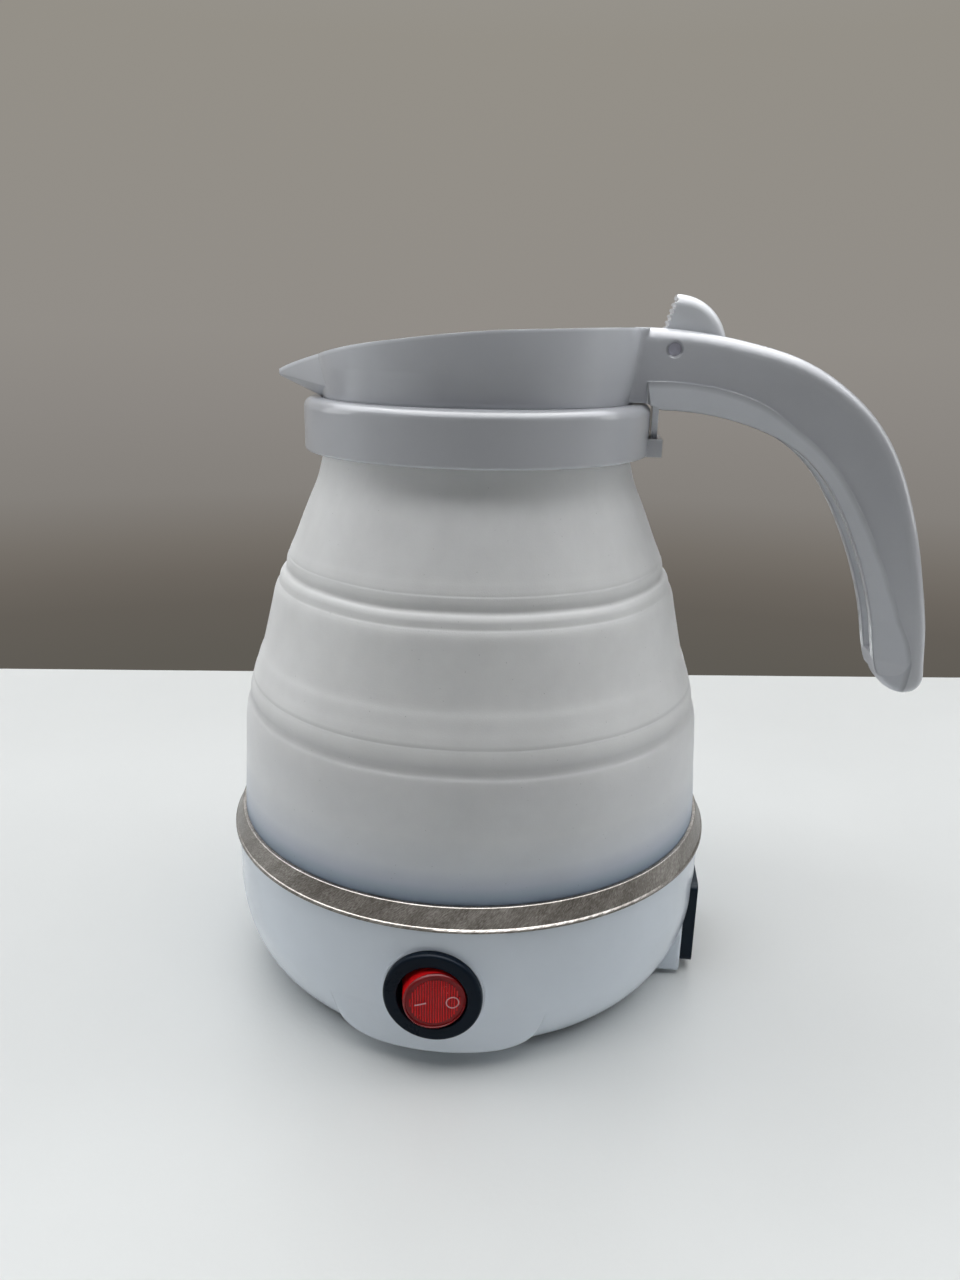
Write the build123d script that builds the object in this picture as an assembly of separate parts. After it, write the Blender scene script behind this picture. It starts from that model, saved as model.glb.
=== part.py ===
"""Collapsible travel kettle: a heated base, a folding silicone wall, and a spouted top with a fixed handle.

The origin is on the kettle's own axis at the surface it stands on. +Z is up, the handle points along +X,
the spout along -X, and the power switch faces -Y. All lengths are in millimetres.
"""

import os
from math import asin, cos, degrees, hypot, radians, sin, sqrt, tan

from build123d import *

# Base housing
rim_radius = 64.0
rim_height = 38.6
housing_wall = 2.4
foot_stand = 1.6
bowl_bend_height = 24.0
bowl_bend_reach = 18.0
bowl_bend_depth = 26.0
upstand_height = 1.4
upstand_setback = 0.7
bottom_opening_setback = 14.5
ledge_thickness = 1.4

# Panel at the front of the housing, behind the switch
panel_foot_setback = 1.8
panel_foot_rise = 2.3
panel_top_drop = 10.6
panel_half_width = 24.6
panel_edge_round = 1.2
panel_outline_shares = ((0.40, 0.01), (0.74, 0.055), (0.92, 0.15), (1.0, 0.27), (1.05, 0.41), (1.16, 0.62),
                        (1.30, 0.83), (1.42, 1.0))

# Boss at the rear of the housing, around the power inlet
inlet_boss_setback = 3.4
inlet_boss_margin = 2.5
inlet_boss_drop = 9.6
inlet_boss_round = 1.0

# Base cover, its screws and the rubber pad that the kettle stands on
cover_setback = 11.8
cover_thickness = 2.0
cover_clearance = 0.2
post_setback = 16.0
post_radius = 3.6
post_height = 8.4
post_count = 3
post_start_angle = 70.0
screw_radius = 1.5
screw_length = 8.0
screw_head_radius = 2.8
screw_head_height = 1.2
screw_slot_width = 0.8
screw_slot_depth = 0.6
screw_clearance = 0.05
pad_setback = 21.0
pad_recess = 0.6
pad_round = 0.5
pad_clearance = 0.1

# Round rocker switch
switch_height = 22.1
bezel_radius = 11.5
bezel_thickness = 1.8
bezel_proud = 1.9
bezel_round = 0.8
switch_seat_margin = 0.3
switch_seat_depth = 6.0
switch_body_radius = 9.8
switch_body_length = 14.0
switch_clearance = 0.3
pocket_radius = 8.25
pocket_depth = 8.6
blade_width = 4.8
blade_thickness = 0.8
blade_length = 8.0
blade_spacing = 5.5
lamp_radius = 1.6
lamp_length = 3.6
lamp_clearance = 0.1

# Rocker of the switch, drawn in its off position
rocker_radius = 7.3
rocker_front = 4.4
rocker_back = 3.6
rocker_pivot_depth = 3.2
rocker_tilt = 12.0
rocker_edge_round = 0.5
trunnion_radius = 0.9
trunnion_reach = 9.1
trunnion_clearance = 0.08

# Power inlet socket and its pins
inlet_height = 14.6
inlet_flange_width = 32.0
inlet_flange_height = 24.0
inlet_flange_thickness = 3.4
inlet_flange_round = 2.0
inlet_clearance = 0.3
inlet_body_width = 27.4
inlet_body_height = 19.0
inlet_body_depth = 19.0
inlet_window_clearance = 0.05
inlet_cavity_width = 24.0
inlet_cavity_height = 16.6
inlet_cavity_depth = 18.0
inlet_cavity_chamfer = 4.0
pin_width = 4.0
pin_thickness = 2.0
pin_spacing = 14.0
pin_row_offset = 2.0
pin_setback = 4.6
pin_tail = 8.0
pin_clearance = 0.05

# Heater pan
pan_sheet = 0.8
pan_depth = 6.6
pan_wall_setback = 6.6
pan_corner = 4.0
pan_flange_clearance = 0.1

# Spreader plate and tubular element under the pan
spreader_radius = 42.0
spreader_thickness = 3.0
element_ring_radius = 34.0
element_radius = 3.2
element_sink = 1.2
element_gap_angle = 70.0
element_gap_direction = 90.0
element_tail = 6.6
element_clearance = 0.05
cold_pin_radius = 1.3
cold_pin_length = 5.0

# Thermostat under the spreader, its clip and the clip's screws
thermostat_radius = 8.0
thermostat_height = 7.0
thermostat_flange_radius = 9.5
thermostat_flange = 2.0
thermostat_blade_width = 6.0
thermostat_blade_length = 7.0
thermostat_blade_root = 2.0
clip_sheet = 0.8
clip_ring_margin = 2.5
clip_arm_length = 16.0
clip_arm_width = 8.0
clip_screw_offset = 13.0
clip_boss_radius = 2.9
clip_screw_radius = 1.4
clip_screw_bite = 1.4
clip_head_radius = 2.5
clip_head_height = 1.6
clip_clearance = 0.1

# Thermal fuse, its strap and the earth stud
fuse_radius = 2.0
fuse_length = 12.0
fuse_offset = 20.0
fuse_lead_radius = 0.6
fuse_lead_length = 5.0
strap_width = 5.0
strap_sheet = 0.8
strap_foot = 2.6
strap_clearance = 0.1
earth_stud_radius = 2.0
earth_stud_length = 6.0
earth_stud_x = 22.0
earth_stud_y = -9.0

# Internal wires
wire_radius = 1.1
wire_arc_share = 0.45

# Steel clamp ring
ring_proud = 1.0
ring_gap = 0.4
ring_lean = 2.1
ring_sheet = 0.6
ring_lip_width = 0.9
ring_bead = 0.45
ring_fit = 0.1

# Silicone wall: one moulding in three tiers that folds at two rings
bead_height = 2.8
bead_inner_clearance = 0.4
bead_clearance = 0.3
lower_tier = 31.2
fold_tier = 34.0
upper_tier = 31.8
fold_gap = 0.3
lower_fold_setback = 4.5
upper_fold_radius = 49.0
upper_foot_radius = 48.9
neck_radius = 38.0
lower_wall = 2.0
fold_wall = 1.7
upper_wall = 1.8
neck_bead_height = 2.6
lower_wall_shares = ((1.0, 0.0), (0.875, 0.205), (0.71, 0.43), (0.60, 0.59), (0.48, 0.75), (0.34, 0.88),
                     (0.17, 0.95), (0.0, 1.0))
fold_wall_shares = ((1.0, 0.0), (0.965, 0.06), (0.895, 0.148), (0.771, 0.267), (0.61, 0.415), (0.486, 0.564),
                    (0.371, 0.712), (0.28, 0.83), (0.18, 0.90), (0.07, 0.955), (0.0, 1.0))
upper_wall_shares = ((1.0, 0.0), (0.945, 0.092), (0.789, 0.219), (0.606, 0.378), (0.404, 0.537), (0.22, 0.695),
                     (0.083, 0.854), (0.0, 1.0))

# Collar around the neck and the clamp ring inside it
collar_radius = 43.1
collar_wall = 2.0
collar_overlap = 2.2
collar_lip = 2.6
collar_lip_clearance = 1.2
collar_shoulder = 2.4
collar_top_round = 2.3
collar_foot_round = 0.7
collar_fit = 0.2
collar_mouth_clearance = 0.5
neck_clamp_height = 2.3
neck_clamp_clearance = 0.4
lug_reach = 3.1
lug_half_width = 6.3
lug_height = 4.3
tongue_gap = 0.25
tongue_thickness = 1.5
tongue_half_width = 4.5
tongue_floor = 1.7
tongue_clearance = 0.12

# Top frame: spout ring and handle in one moulding
frame_flange = 2.4
frame_spigot_wall = 1.8
frame_spigot_length = 4.6
frame_spigot_clearance = 0.2
frame_neck_radius = 38.4
frame_shoulder_radius = 39.6
frame_rim_radius = 40.8
frame_wall = 2.2
frame_spare_height = 3.4
seat_rise = 7.2
seat_inner_radius = 34.9
seat_thickness = 1.6
rim_back_rise = 17.6
rim_back_reach = 43.0
spout_reach = 50.8
spout_lip_rise = 5.9
rim_line_shares = ((0.0, 0.0), (0.014, 0.043), (0.043, 0.124), (0.083, 0.214), (0.147, 0.342), (0.195, 0.427),
                   (0.274, 0.547), (0.341, 0.624), (0.432, 0.714), (0.542, 0.812), (0.646, 0.880), (0.803, 0.936),
                   (0.913, 0.979), (1.0, 1.0))
spout_root_reach = 32.5
spout_root_half_width = 20.7
spout_root_keel = 13.2
spout_root_sink = 1.6
spout_root_shoulder = 2.7
spout_tip_half_width = 1.3
spout_tip_keel = 0.6
spout_tip_drop = 1.6
spout_tip_shoulder = 1.1
spout_wall = 1.8
channel_root_reach = 32.0
channel_tip_setback = 2.6

# Handle
handle_root = 36.9
handle_reach = 117.0
handle_drop = 88.3
handle_root_half_width = 10.0
handle_tip_half_width = 5.8
handle_wall = 2.4
handle_round_share = 0.076
handle_tip_round_share = 0.56
handle_band_step = 0.7
handle_band_start = 41.4
channel_start = 42.0
web_round = 2.4
web_depth = 3.0
web_ring_sink = 0.15
web_flank_sinks = (0.6, 0.35, 0.15)
root_clearance = 0.4
root_plate_thickness = 1.6
root_plate_reach = 46.0
root_plate_half_width = 7.9
handle_outline_shares = ((0.0, 1.001), (0.177, 0.994), (0.357, 0.966), (0.511, 0.924), (0.627, 0.864),
                         (0.708, 0.803), (0.793, 0.708), (0.864, 0.579), (0.915, 0.445), (0.954, 0.307),
                         (0.983, 0.178), (0.995, 0.079), (0.996, 0.037), (0.974, 0.008), (0.933, 0.0),
                         (0.893, 0.012), (0.860, 0.036), (0.836, 0.075), (0.815, 0.150), (0.797, 0.230),
                         (0.772, 0.308), (0.732, 0.404), (0.685, 0.494), (0.599, 0.617), (0.524, 0.682),
                         (0.413, 0.737), (0.216, 0.783), (0.104, 0.789))
handle_band_shares = ((0.056, 0.862), (0.162, 0.861), (0.283, 0.845), (0.397, 0.811), (0.506, 0.747),
                      (0.599, 0.680), (0.676, 0.598), (0.737, 0.512), (0.789, 0.424), (0.845, 0.316),
                      (0.890, 0.224), (0.926, 0.159), (0.938, 0.110), (0.915, 0.066), (0.86, 0.060), (0.80, 0.07))
handle_channel_shares = ((0.064, 0.959), (0.176, 0.959), (0.351, 0.932), (0.497, 0.891), (0.604, 0.834),
                         (0.682, 0.777), (0.763, 0.687), (0.829, 0.565), (0.879, 0.435), (0.918, 0.300),
                         (0.935, 0.206), (0.925, 0.155), (0.895, 0.128), (0.85, 0.118), (0.78, 0.112))
handle_taper_shares = ((0.0, -0.05), (0.095, 0.11), (0.357, 0.359), (0.643, 0.619), (0.881, 0.789),
                       (0.976, 0.903), (1.0, 1.05))

# Lid, its hinge and its thumb tab
lid_radius = 36.7
lid_thickness = 1.9
lid_crown = 1.0
lid_edge_round = 0.5
lid_rib_radius = 30.0
lid_rib_width = 1.6
lid_rib_depth = 2.0
hinge_reach = 47.2
hinge_drop = 4.7
hinge_pin_radius = 1.5
hinge_pin_half_length = 8.5
hinge_pin_fit = 0.05
hinge_running_clearance = 0.08
hinge_sink_radius = 1.9
hinge_boss_radius = 3.8
barrel_radius = 3.8
tab_radius = 12.4
tab_half_width = 5.7
tab_start_angle = 5.0
tab_end_angle = 89.5
tab_round = 2.8
tab_foot_x = -2.5
tab_foot_z = 4.2
tab_groove_count = 5
tab_groove_radius = 0.5
arm_root_reach = 32.0
arm_thickness = 2.6
slot_clearance = 0.5

# Seal ring under the lid
seal_thickness = 0.7
seal_fit = 0.1
seal_hang = 1.8
seal_hang_wall = 1.0
seal_hang_clearance = 0.6

# How far a cutting tool runs past what it cuts, and how near two places count as one
overrun = 1.0
same_place = 0.01

# Heights, worked out from the floor up
cover_top = foot_stand + cover_thickness
ledge_height = cover_top + ledge_thickness
post_top = cover_top + post_height
seat_height = rim_height + upstand_height
pan_flange_top = seat_height + pan_sheet
pan_floor_top = seat_height - pan_depth
pan_floor_bottom = pan_floor_top - pan_sheet
spreader_bottom = pan_floor_bottom - spreader_thickness
element_height = spreader_bottom - element_radius + element_sink
element_foot = element_height - element_tail
thermostat_top = spreader_bottom - thermostat_flange
thermostat_bottom = thermostat_top - thermostat_height
thermostat_blade_height = thermostat_bottom + thermostat_blade_root
fuse_height = spreader_bottom - strap_clearance - fuse_radius
bead_top = pan_flange_top + bead_height
ring_foot_height = rim_height + ring_gap
ring_top_height = bead_top + ring_fit + ring_sheet
lower_fold_height = bead_top + lower_tier
upper_fold_height = lower_fold_height + fold_tier
neck_height = upper_fold_height + upper_tier
collar_bottom = neck_height - collar_overlap
lip_top = collar_bottom + collar_lip
neck_clamp_top = lip_top + neck_clamp_height
neck_bead_top = neck_clamp_top + neck_bead_height
spigot_bottom = neck_bead_top - frame_spigot_length
frame_flange_top = neck_bead_top + frame_flange
shoulder_bottom = frame_flange_top + collar_fit
collar_top = shoulder_bottom + collar_shoulder
root_bottom = collar_top + root_clearance
root_plate_top = root_bottom + root_plate_thickness
seat_top = collar_top + seat_rise
rim_back_height = collar_top + rim_back_rise
spout_lip_height = collar_top + spout_lip_rise
frame_blank_top = rim_back_height + frame_spare_height
lid_bottom = seat_top + seal_fit + seal_thickness
hinge_height = rim_back_height - hinge_drop
handle_tip_height = rim_back_height - handle_drop

# Radii and reaches, worked out from the parts that they meet
bowl_core_radius = rim_radius - bowl_bend_reach
bottom_opening_radius = rim_radius - bottom_opening_setback
panel_foot_radius = rim_radius - panel_foot_setback
cover_radius = rim_radius - cover_setback
post_ring_radius = rim_radius - post_setback
pad_radius = rim_radius - pad_setback
lower_fold_radius = rim_radius - lower_fold_setback
bezel_front = rim_radius + bezel_proud
bezel_back = bezel_front - bezel_thickness
switch_back = bezel_back - switch_body_length
inlet_face = rim_radius - inlet_boss_setback
inlet_front = inlet_face + inlet_flange_thickness
inlet_back = inlet_face - inlet_body_depth
inlet_boss_half_width = inlet_flange_width / 2 + inlet_boss_margin
pin_front = inlet_front - pin_setback
pin_back = inlet_back - pin_tail
pin_row_height = inlet_height - pin_row_offset
earth_pin_height = inlet_height + pin_row_offset
upstand_radius = rim_radius - upstand_setback
pan_flange_radius = upstand_radius - pan_flange_clearance
pan_wall_radius = rim_radius - pan_wall_setback
bead_inner_radius = pan_wall_radius + bead_inner_clearance
ring_foot_radius = rim_radius + ring_proud
ring_top_radius = ring_foot_radius - ring_lean
ring_lip_radius = ring_top_radius - ring_lip_width
silicone_foot_radius = ring_lip_radius - ring_fit
bead_radius = ring_top_radius - ring_sheet - bead_clearance
collar_bore = collar_radius - collar_wall
collar_lip_radius = neck_radius + collar_lip_clearance
collar_mouth_radius = frame_neck_radius + collar_mouth_clearance
neck_bore = neck_radius - upper_wall
neck_bead_radius = collar_bore - neck_clamp_clearance
spigot_radius = neck_bore - frame_spigot_clearance
spigot_bore = spigot_radius - frame_spigot_wall
tongue_start = collar_radius + tongue_gap
lug_root = collar_radius - collar_wall / 2
lug_end = collar_radius + lug_reach
slot_half_width = tab_half_width + slot_clearance
handle_span = handle_reach - handle_root
handle_round = min(handle_round_share * handle_span * handle_drop / (handle_span + handle_drop),
                   handle_tip_round_share * handle_tip_half_width)
seal_radius = lid_radius - seal_fit
seal_hang_radius = seat_inner_radius - seal_hang_clearance


def at(x, z):
    """A point in the XZ plane."""
    return Vector(x, 0, z)


def rounded_outline(*corners):
    """Edges of a closed outline in the XZ plane; a corner is (x, z), or (x, z, radius) where it is rounded."""
    joints = []
    for index, corner in enumerate(corners):
        point = at(*corner[:2])
        if len(corner) == 2:
            joints.append((point, None, point))
            continue
        before = (at(*corners[index - 1][:2]) - point).normalized()
        after = (at(*corners[(index + 1) % len(corners)][:2]) - point).normalized()
        half_angle = radians(before.get_angle(after)) / 2
        reach = corner[2] / tan(half_angle)
        middle = point + (before + after).normalized() * (corner[2] / sin(half_angle) - corner[2])
        joints.append((point + before * reach, middle, point + after * reach))
    edges = []
    for index, (arrive, middle, leave) in enumerate(joints):
        if middle is not None:
            edges.append(ThreePointArc(arrive, middle, leave))
        edges.append(Line(leave, joints[(index + 1) % len(joints)][0]))
    return edges


def lathe(*corners):
    """A solid of revolution about the kettle's axis from (radius, height) corners."""
    return revolve(make_face(rounded_outline(*corners)), Axis.Z)


def disc(radius, bottom, top, x=0.0, y=0.0):
    """An upright cylinder between two heights."""
    return Pos(x, y, (bottom + top) / 2) * Cylinder(radius, top - bottom)


def ring(inner_radius, outer_radius, bottom, top):
    """An upright tube between two heights."""
    return disc(outer_radius, bottom, top) - disc(inner_radius, bottom - overrun, top + overrun)


def block(x_range, y_range, z_range):
    """A box between two corners."""
    centre = [(low + high) / 2 for low, high in (x_range, y_range, z_range)]
    size = [high - low for low, high in (x_range, y_range, z_range)]
    return Pos(*centre) * Box(*size)


def rod_along_y(radius, y_range, x, z):
    """A cylinder whose axis runs along Y."""
    return Pos(x, sum(y_range) / 2, z) * Rot(90, 0, 0) * Cylinder(radius, y_range[1] - y_range[0])


def rod_along_x(radius, half_length, y, z):
    """A cylinder about the YZ plane whose axis runs along X."""
    return Pos(0, y, z) * Rot(0, 90, 0) * Cylinder(radius, 2 * half_length)


def slab(face, half_width):
    """An XZ face thickened evenly to both sides of the XZ plane."""
    return extrude(face, half_width, dir=(0, 1, 0), both=True)


def around(count, start_angle, radius):
    """Places evenly spaced on a circle about the axis."""
    for turn in range(count):
        angle = radians(start_angle + 360.0 * turn / count)
        yield radius * cos(angle), radius * sin(angle)


def save(shape, node):
    export_step(shape, f"parts/{node}.step")


# Base housing
def bowl(inset, bottom, top):
    """The housing's bowl, drawn in by a wall, between two heights."""
    half_width = bowl_bend_reach - inset
    half_depth = bowl_bend_depth - inset
    turn = degrees(asin((bowl_bend_height - bottom) / half_depth))
    bend = Plane.XZ * EllipticalCenterArc((bowl_core_radius, bowl_bend_height), half_width, half_depth,
                                          start_angle=-turn, arc_size=turn)
    shoulder = at(rim_radius - inset, bowl_bend_height)
    rim = at(rim_radius - inset, top)
    edges = [bend, Line(shoulder, rim), Line(rim, at(0, top)), Line(at(0, top), at(0, bottom)),
             Line(at(0, bottom), bend @ 0)]
    return revolve(make_face(edges), Axis.Z)


def front_panel(inset):
    """The panel behind the switch: the rim's wall carried straight down, inside a shield outline."""
    foot = foot_stand + panel_foot_rise + inset
    top = rim_height - panel_top_drop
    cone = lathe((0, foot), (panel_foot_radius - inset, foot), (rim_radius - inset, top), (0, top))
    width = panel_half_width - inset
    right = [at(across * width, foot + up * (top - foot)) for across, up in panel_outline_shares]
    left = [at(-point.X, point.Z) for point in reversed(right)]
    shield = make_face([Spline(*left, *right), Line(right[-1], left[0])])
    return cone & extrude(shield, rim_radius, dir=(0, -1, 0))


def rounded_front_panel():
    """The front panel with its outer edge rounded where it stands clear of the bowl."""
    panel = front_panel(0.0)
    front = panel.faces().filter_by(GeomType.CONE)[0]
    seams = [edge for edge in front.edges() if edge.center().Z < rim_height - panel_top_drop - overrun]
    return fillet(seams, panel_edge_round)


def inlet_boss(face, half_width, bottom, top):
    """The flat-faced boss that carries the power inlet."""
    return block((bowl_core_radius, face), (-half_width, half_width), (bottom, top))


def inlet_seat():
    """The flat seat for the inlet's flange and the window for its body."""
    half_width = inlet_flange_width / 2 + inlet_clearance
    half_height = inlet_flange_height / 2 + inlet_clearance
    seat = block((inlet_face, rim_radius + overrun), (-half_width, half_width),
                 (0, inlet_height + half_height))
    window_half_width = inlet_body_width / 2 + inlet_window_clearance
    window_half_height = inlet_body_height / 2 + inlet_window_clearance
    window = block((inlet_back, inlet_face + overrun), (-window_half_width, window_half_width),
                   (inlet_height - window_half_height, inlet_height + window_half_height))
    return [seat, window]


def base_opening():
    """The bottom opening around the screw posts, the cover's rebate and the posts' pilot holes."""
    opening = disc(bottom_opening_radius, 0, ledge_height)
    pilots = []
    for x, y in around(post_count, post_start_angle, post_ring_radius):
        opening = opening - disc(post_radius, 0, post_top, x, y)
        pilots.append(disc(screw_radius + screw_clearance, 0, foot_stand + screw_length + overrun, x, y))
    return [opening, disc(cover_radius + cover_clearance, 0, cover_top), *pilots]


def base_housing():
    boss_top = rim_height - inlet_boss_drop
    boss = inlet_boss(inlet_face, inlet_boss_half_width, foot_stand, boss_top)
    boss = fillet(boss.edges().filter_by(Axis.Z).group_by(Axis.X)[-1], inlet_boss_round)
    switch_seat = rod_along_y(bezel_radius + switch_seat_margin, (-bezel_back, -(bezel_back - switch_seat_depth)),
                              0.0, switch_height)
    outer = bowl(0.0, foot_stand, rim_height) + rounded_front_panel() + boss
    outer = outer + disc(upstand_radius, rim_height - overrun, seat_height)
    inner_face = inlet_face - housing_wall
    inlet_wall = block((inner_face, rim_radius + overrun), (-inlet_boss_half_width, inlet_boss_half_width),
                       (0, boss_top))
    hollow = bowl(housing_wall, ledge_height, seat_height + overrun) + front_panel(housing_wall) - inlet_wall
    hollow = hollow + inlet_boss(inner_face, inlet_boss_half_width - housing_wall, ledge_height,
                                 boss_top - housing_wall)
    shell = outer - hollow + switch_seat
    for x, y in around(post_count, post_start_angle, post_ring_radius):
        shell = shell + disc(post_radius, ledge_height - overrun, post_top, x, y)
    switch_bore = rod_along_y(switch_body_radius + switch_clearance,
                              (-(bezel_front + overrun), -(switch_back - overrun)), 0.0, switch_height)
    return shell - base_opening() - switch_bore - inlet_seat()


# Base cover with its screws and rubber pad
def base_cover():
    cover = disc(cover_radius, foot_stand, cover_top)
    for x, y in around(post_count, post_start_angle, post_ring_radius):
        cover = cover - disc(screw_radius + screw_clearance, 0, cover_top + overrun, x, y)
        cover = cover - disc(screw_head_radius + screw_clearance, 0, foot_stand + screw_head_height, x, y)
    return cover - disc(pad_radius + pad_clearance, 0, foot_stand + pad_recess)


def cover_screws():
    screws = []
    for x, y in around(post_count, post_start_angle, post_ring_radius):
        head = disc(screw_head_radius, foot_stand, foot_stand + screw_head_height, x, y)
        slot = block((x - screw_head_radius - overrun, x + screw_head_radius + overrun),
                     (y - screw_slot_width / 2, y + screw_slot_width / 2), (0, foot_stand + screw_slot_depth))
        shank = disc(screw_radius, foot_stand + screw_head_height, foot_stand + screw_length, x, y)
        screws.append(head - slot + shank)
    return Compound(children=screws)


def rubber_pad():
    pad = disc(pad_radius, 0, foot_stand + pad_recess)
    return fillet(pad.edges().group_by(Axis.Z)[0], pad_round)


# Round rocker switch: its pieces are drawn with their axis along Z, facing up, and then turned to face -Y
def facing_front(shape):
    return Pos(0, -bezel_front, switch_height) * Rot(90, 0, 0) * shape


def blade_places():
    return (-blade_spacing, 0.0, blade_spacing)


def switch_body():
    bezel = disc(bezel_radius, -bezel_thickness, 0)
    bezel = fillet(bezel.edges().group_by(Axis.Z)[-1], bezel_round)
    body = bezel + disc(switch_body_radius, -(bezel_thickness + switch_body_length), -bezel_thickness)
    body = body - disc(pocket_radius, -pocket_depth, overrun)
    body = body - disc(lamp_radius + lamp_clearance, -(pocket_depth + lamp_length + lamp_clearance), 0)
    pivot_hole = Cylinder(trunnion_radius + trunnion_clearance, 2 * (trunnion_reach + trunnion_clearance))
    return facing_front(body - Pos(0, 0, -rocker_pivot_depth) * Rot(90, 0, 0) * pivot_hole)


def switch_lamp():
    back = -(pocket_depth + lamp_length + lamp_clearance)
    return facing_front(disc(lamp_radius, back, back + lamp_length))


def switch_terminals():
    back = -(bezel_thickness + switch_body_length)
    blades = [block((x - blade_thickness / 2, x + blade_thickness / 2), (-blade_width / 2, blade_width / 2),
                    (back - blade_length, back)) for x in blade_places()]
    return facing_front(Compound(children=blades))


def switch_rocker():
    drum = disc(rocker_radius, -rocker_back, rocker_front)
    drum = fillet(drum.edges().group_by(Axis.Z)[-1], rocker_edge_round)
    drum = drum + Rot(90, 0, 0) * Cylinder(trunnion_radius, 2 * trunnion_reach)
    tilted = Rot(0, rocker_tilt, 0) * drum
    return facing_front(Pos(0, 0, -rocker_pivot_depth) * tilted)


# Power inlet
def pin_places():
    """Where the inlet's three pins stand, as (y, z): the two live ones, then the earth."""
    return ((-pin_spacing / 2, pin_row_height), (pin_spacing / 2, pin_row_height), (0.0, earth_pin_height))


def pin(y, z, clearance, x_range):
    return block(x_range, (y - pin_thickness / 2 - clearance, y + pin_thickness / 2 + clearance),
                 (z - pin_width / 2 - clearance, z + pin_width / 2 + clearance))


def inlet_socket():
    half_width = inlet_flange_width / 2
    flange = block((inlet_face, inlet_front), (-half_width, half_width),
                   (inlet_height - inlet_flange_height / 2, inlet_height + inlet_flange_height / 2))
    flange = fillet(flange.edges().filter_by(Axis.X), inlet_flange_round)
    body = block((inlet_back, inlet_face), (-inlet_body_width / 2, inlet_body_width / 2),
                 (inlet_height - inlet_body_height / 2, inlet_height + inlet_body_height / 2))
    cavity = block((inlet_front - inlet_cavity_depth, inlet_front + overrun),
                   (-inlet_cavity_width / 2, inlet_cavity_width / 2),
                   (inlet_height - inlet_cavity_height / 2, inlet_height + inlet_cavity_height / 2))
    cavity = chamfer(cavity.edges().filter_by(Axis.X).group_by(Axis.Z)[-1], inlet_cavity_chamfer)
    socket = flange + body - cavity
    for y, z in pin_places():
        socket = socket - pin(y, z, pin_clearance, (inlet_back - overrun, inlet_front))
    return socket


def inlet_pins():
    return Compound(children=[pin(y, z, 0.0, (pin_back, pin_front)) for y, z in pin_places()])


# Heater: pan, spreader, tubular element and its pins
def heater_pan():
    inner_radius = pan_wall_radius - pan_sheet
    return lathe((0, pan_floor_bottom), (pan_wall_radius, pan_floor_bottom, pan_corner),
                 (pan_wall_radius, seat_height), (pan_flange_radius, seat_height),
                 (pan_flange_radius, pan_flange_top), (inner_radius, pan_flange_top),
                 (inner_radius, pan_floor_top, pan_corner - pan_sheet), (0, pan_floor_top))


def element_ends():
    """The two ends of the element's ring, as (x, y)."""
    for side in (-1, 1):
        angle = radians(element_gap_direction + side * element_gap_angle / 2)
        yield element_ring_radius * cos(angle), element_ring_radius * sin(angle)


def element_ring(radius):
    """The element's tube or its groove: an open ring that starts at the end of the gap."""
    section = Plane.XZ * Pos(element_ring_radius, element_height) * Circle(radius)
    turn = Rot(0, 0, element_gap_direction + element_gap_angle / 2)
    return turn * revolve(section, Axis.Z, revolution_arc=360.0 - element_gap_angle)


def heating_element():
    element = element_ring(element_radius)
    for x, y in element_ends():
        element = element + Pos(x, y, element_height) * Sphere(element_radius)
        element = element + disc(element_radius, element_foot, element_height, x, y)
    return element


def element_pins():
    return Compound(children=[disc(cold_pin_radius, element_foot - cold_pin_length, element_foot, x, y)
                              for x, y in element_ends()])


def clip_screw_places():
    return ((-clip_screw_offset, 0.0), (clip_screw_offset, 0.0))


def heat_spreader():
    plate = disc(spreader_radius, spreader_bottom, pan_floor_bottom)
    for x, y in clip_screw_places():
        plate = plate + disc(clip_boss_radius, thermostat_top, spreader_bottom, x, y)
        plate = plate - disc(clip_screw_radius + screw_clearance, thermostat_top - overrun,
                             spreader_bottom + clip_screw_bite, x, y)
    plate = plate - element_ring(element_radius + element_clearance)
    for x, y in element_ends():
        plate = plate - Pos(x, y, element_height) * Sphere(element_radius + element_clearance)
    return plate


# Thermostat, its blades, clip and screws
def thermostat():
    return disc(thermostat_radius, thermostat_bottom, thermostat_top) + disc(thermostat_flange_radius,
                                                                             thermostat_top, spreader_bottom)


def thermostat_terminals():
    half_width = thermostat_blade_width / 2
    blade = block((-half_width, half_width), (0, thermostat_radius + thermostat_blade_length),
                  (thermostat_blade_height - blade_thickness / 2, thermostat_blade_height + blade_thickness / 2))
    blade = blade - disc(thermostat_radius, thermostat_bottom, spreader_bottom)
    return Compound(children=[blade, Rot(0, 0, 180) * blade])


def thermostat_clip():
    bottom = thermostat_top - clip_sheet
    half_width = clip_arm_width / 2
    plate = disc(thermostat_radius + clip_ring_margin, bottom, thermostat_top)
    plate = plate + block((-clip_arm_length, clip_arm_length), (-half_width, half_width),
                          (bottom, thermostat_top))
    plate = plate - disc(thermostat_radius + clip_clearance, bottom - overrun, thermostat_top + overrun)
    for x, y in clip_screw_places():
        plate = plate - disc(clip_screw_radius + screw_clearance, bottom - overrun, thermostat_top + overrun, x, y)
    return plate


def clip_screws():
    seat = thermostat_top - clip_sheet
    screws = [disc(clip_head_radius, seat - clip_head_height, seat, x, y)
              + disc(clip_screw_radius, seat, spreader_bottom + clip_screw_bite, x, y)
              for x, y in clip_screw_places()]
    return Compound(children=screws)


# Thermal fuse, its strap and the earth stud
def thermal_fuse():
    half_length = fuse_length / 2
    return rod_along_x(fuse_radius, half_length, fuse_offset, fuse_height) + rod_along_x(
        fuse_lead_radius, half_length + fuse_lead_length, fuse_offset, fuse_height)


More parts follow.
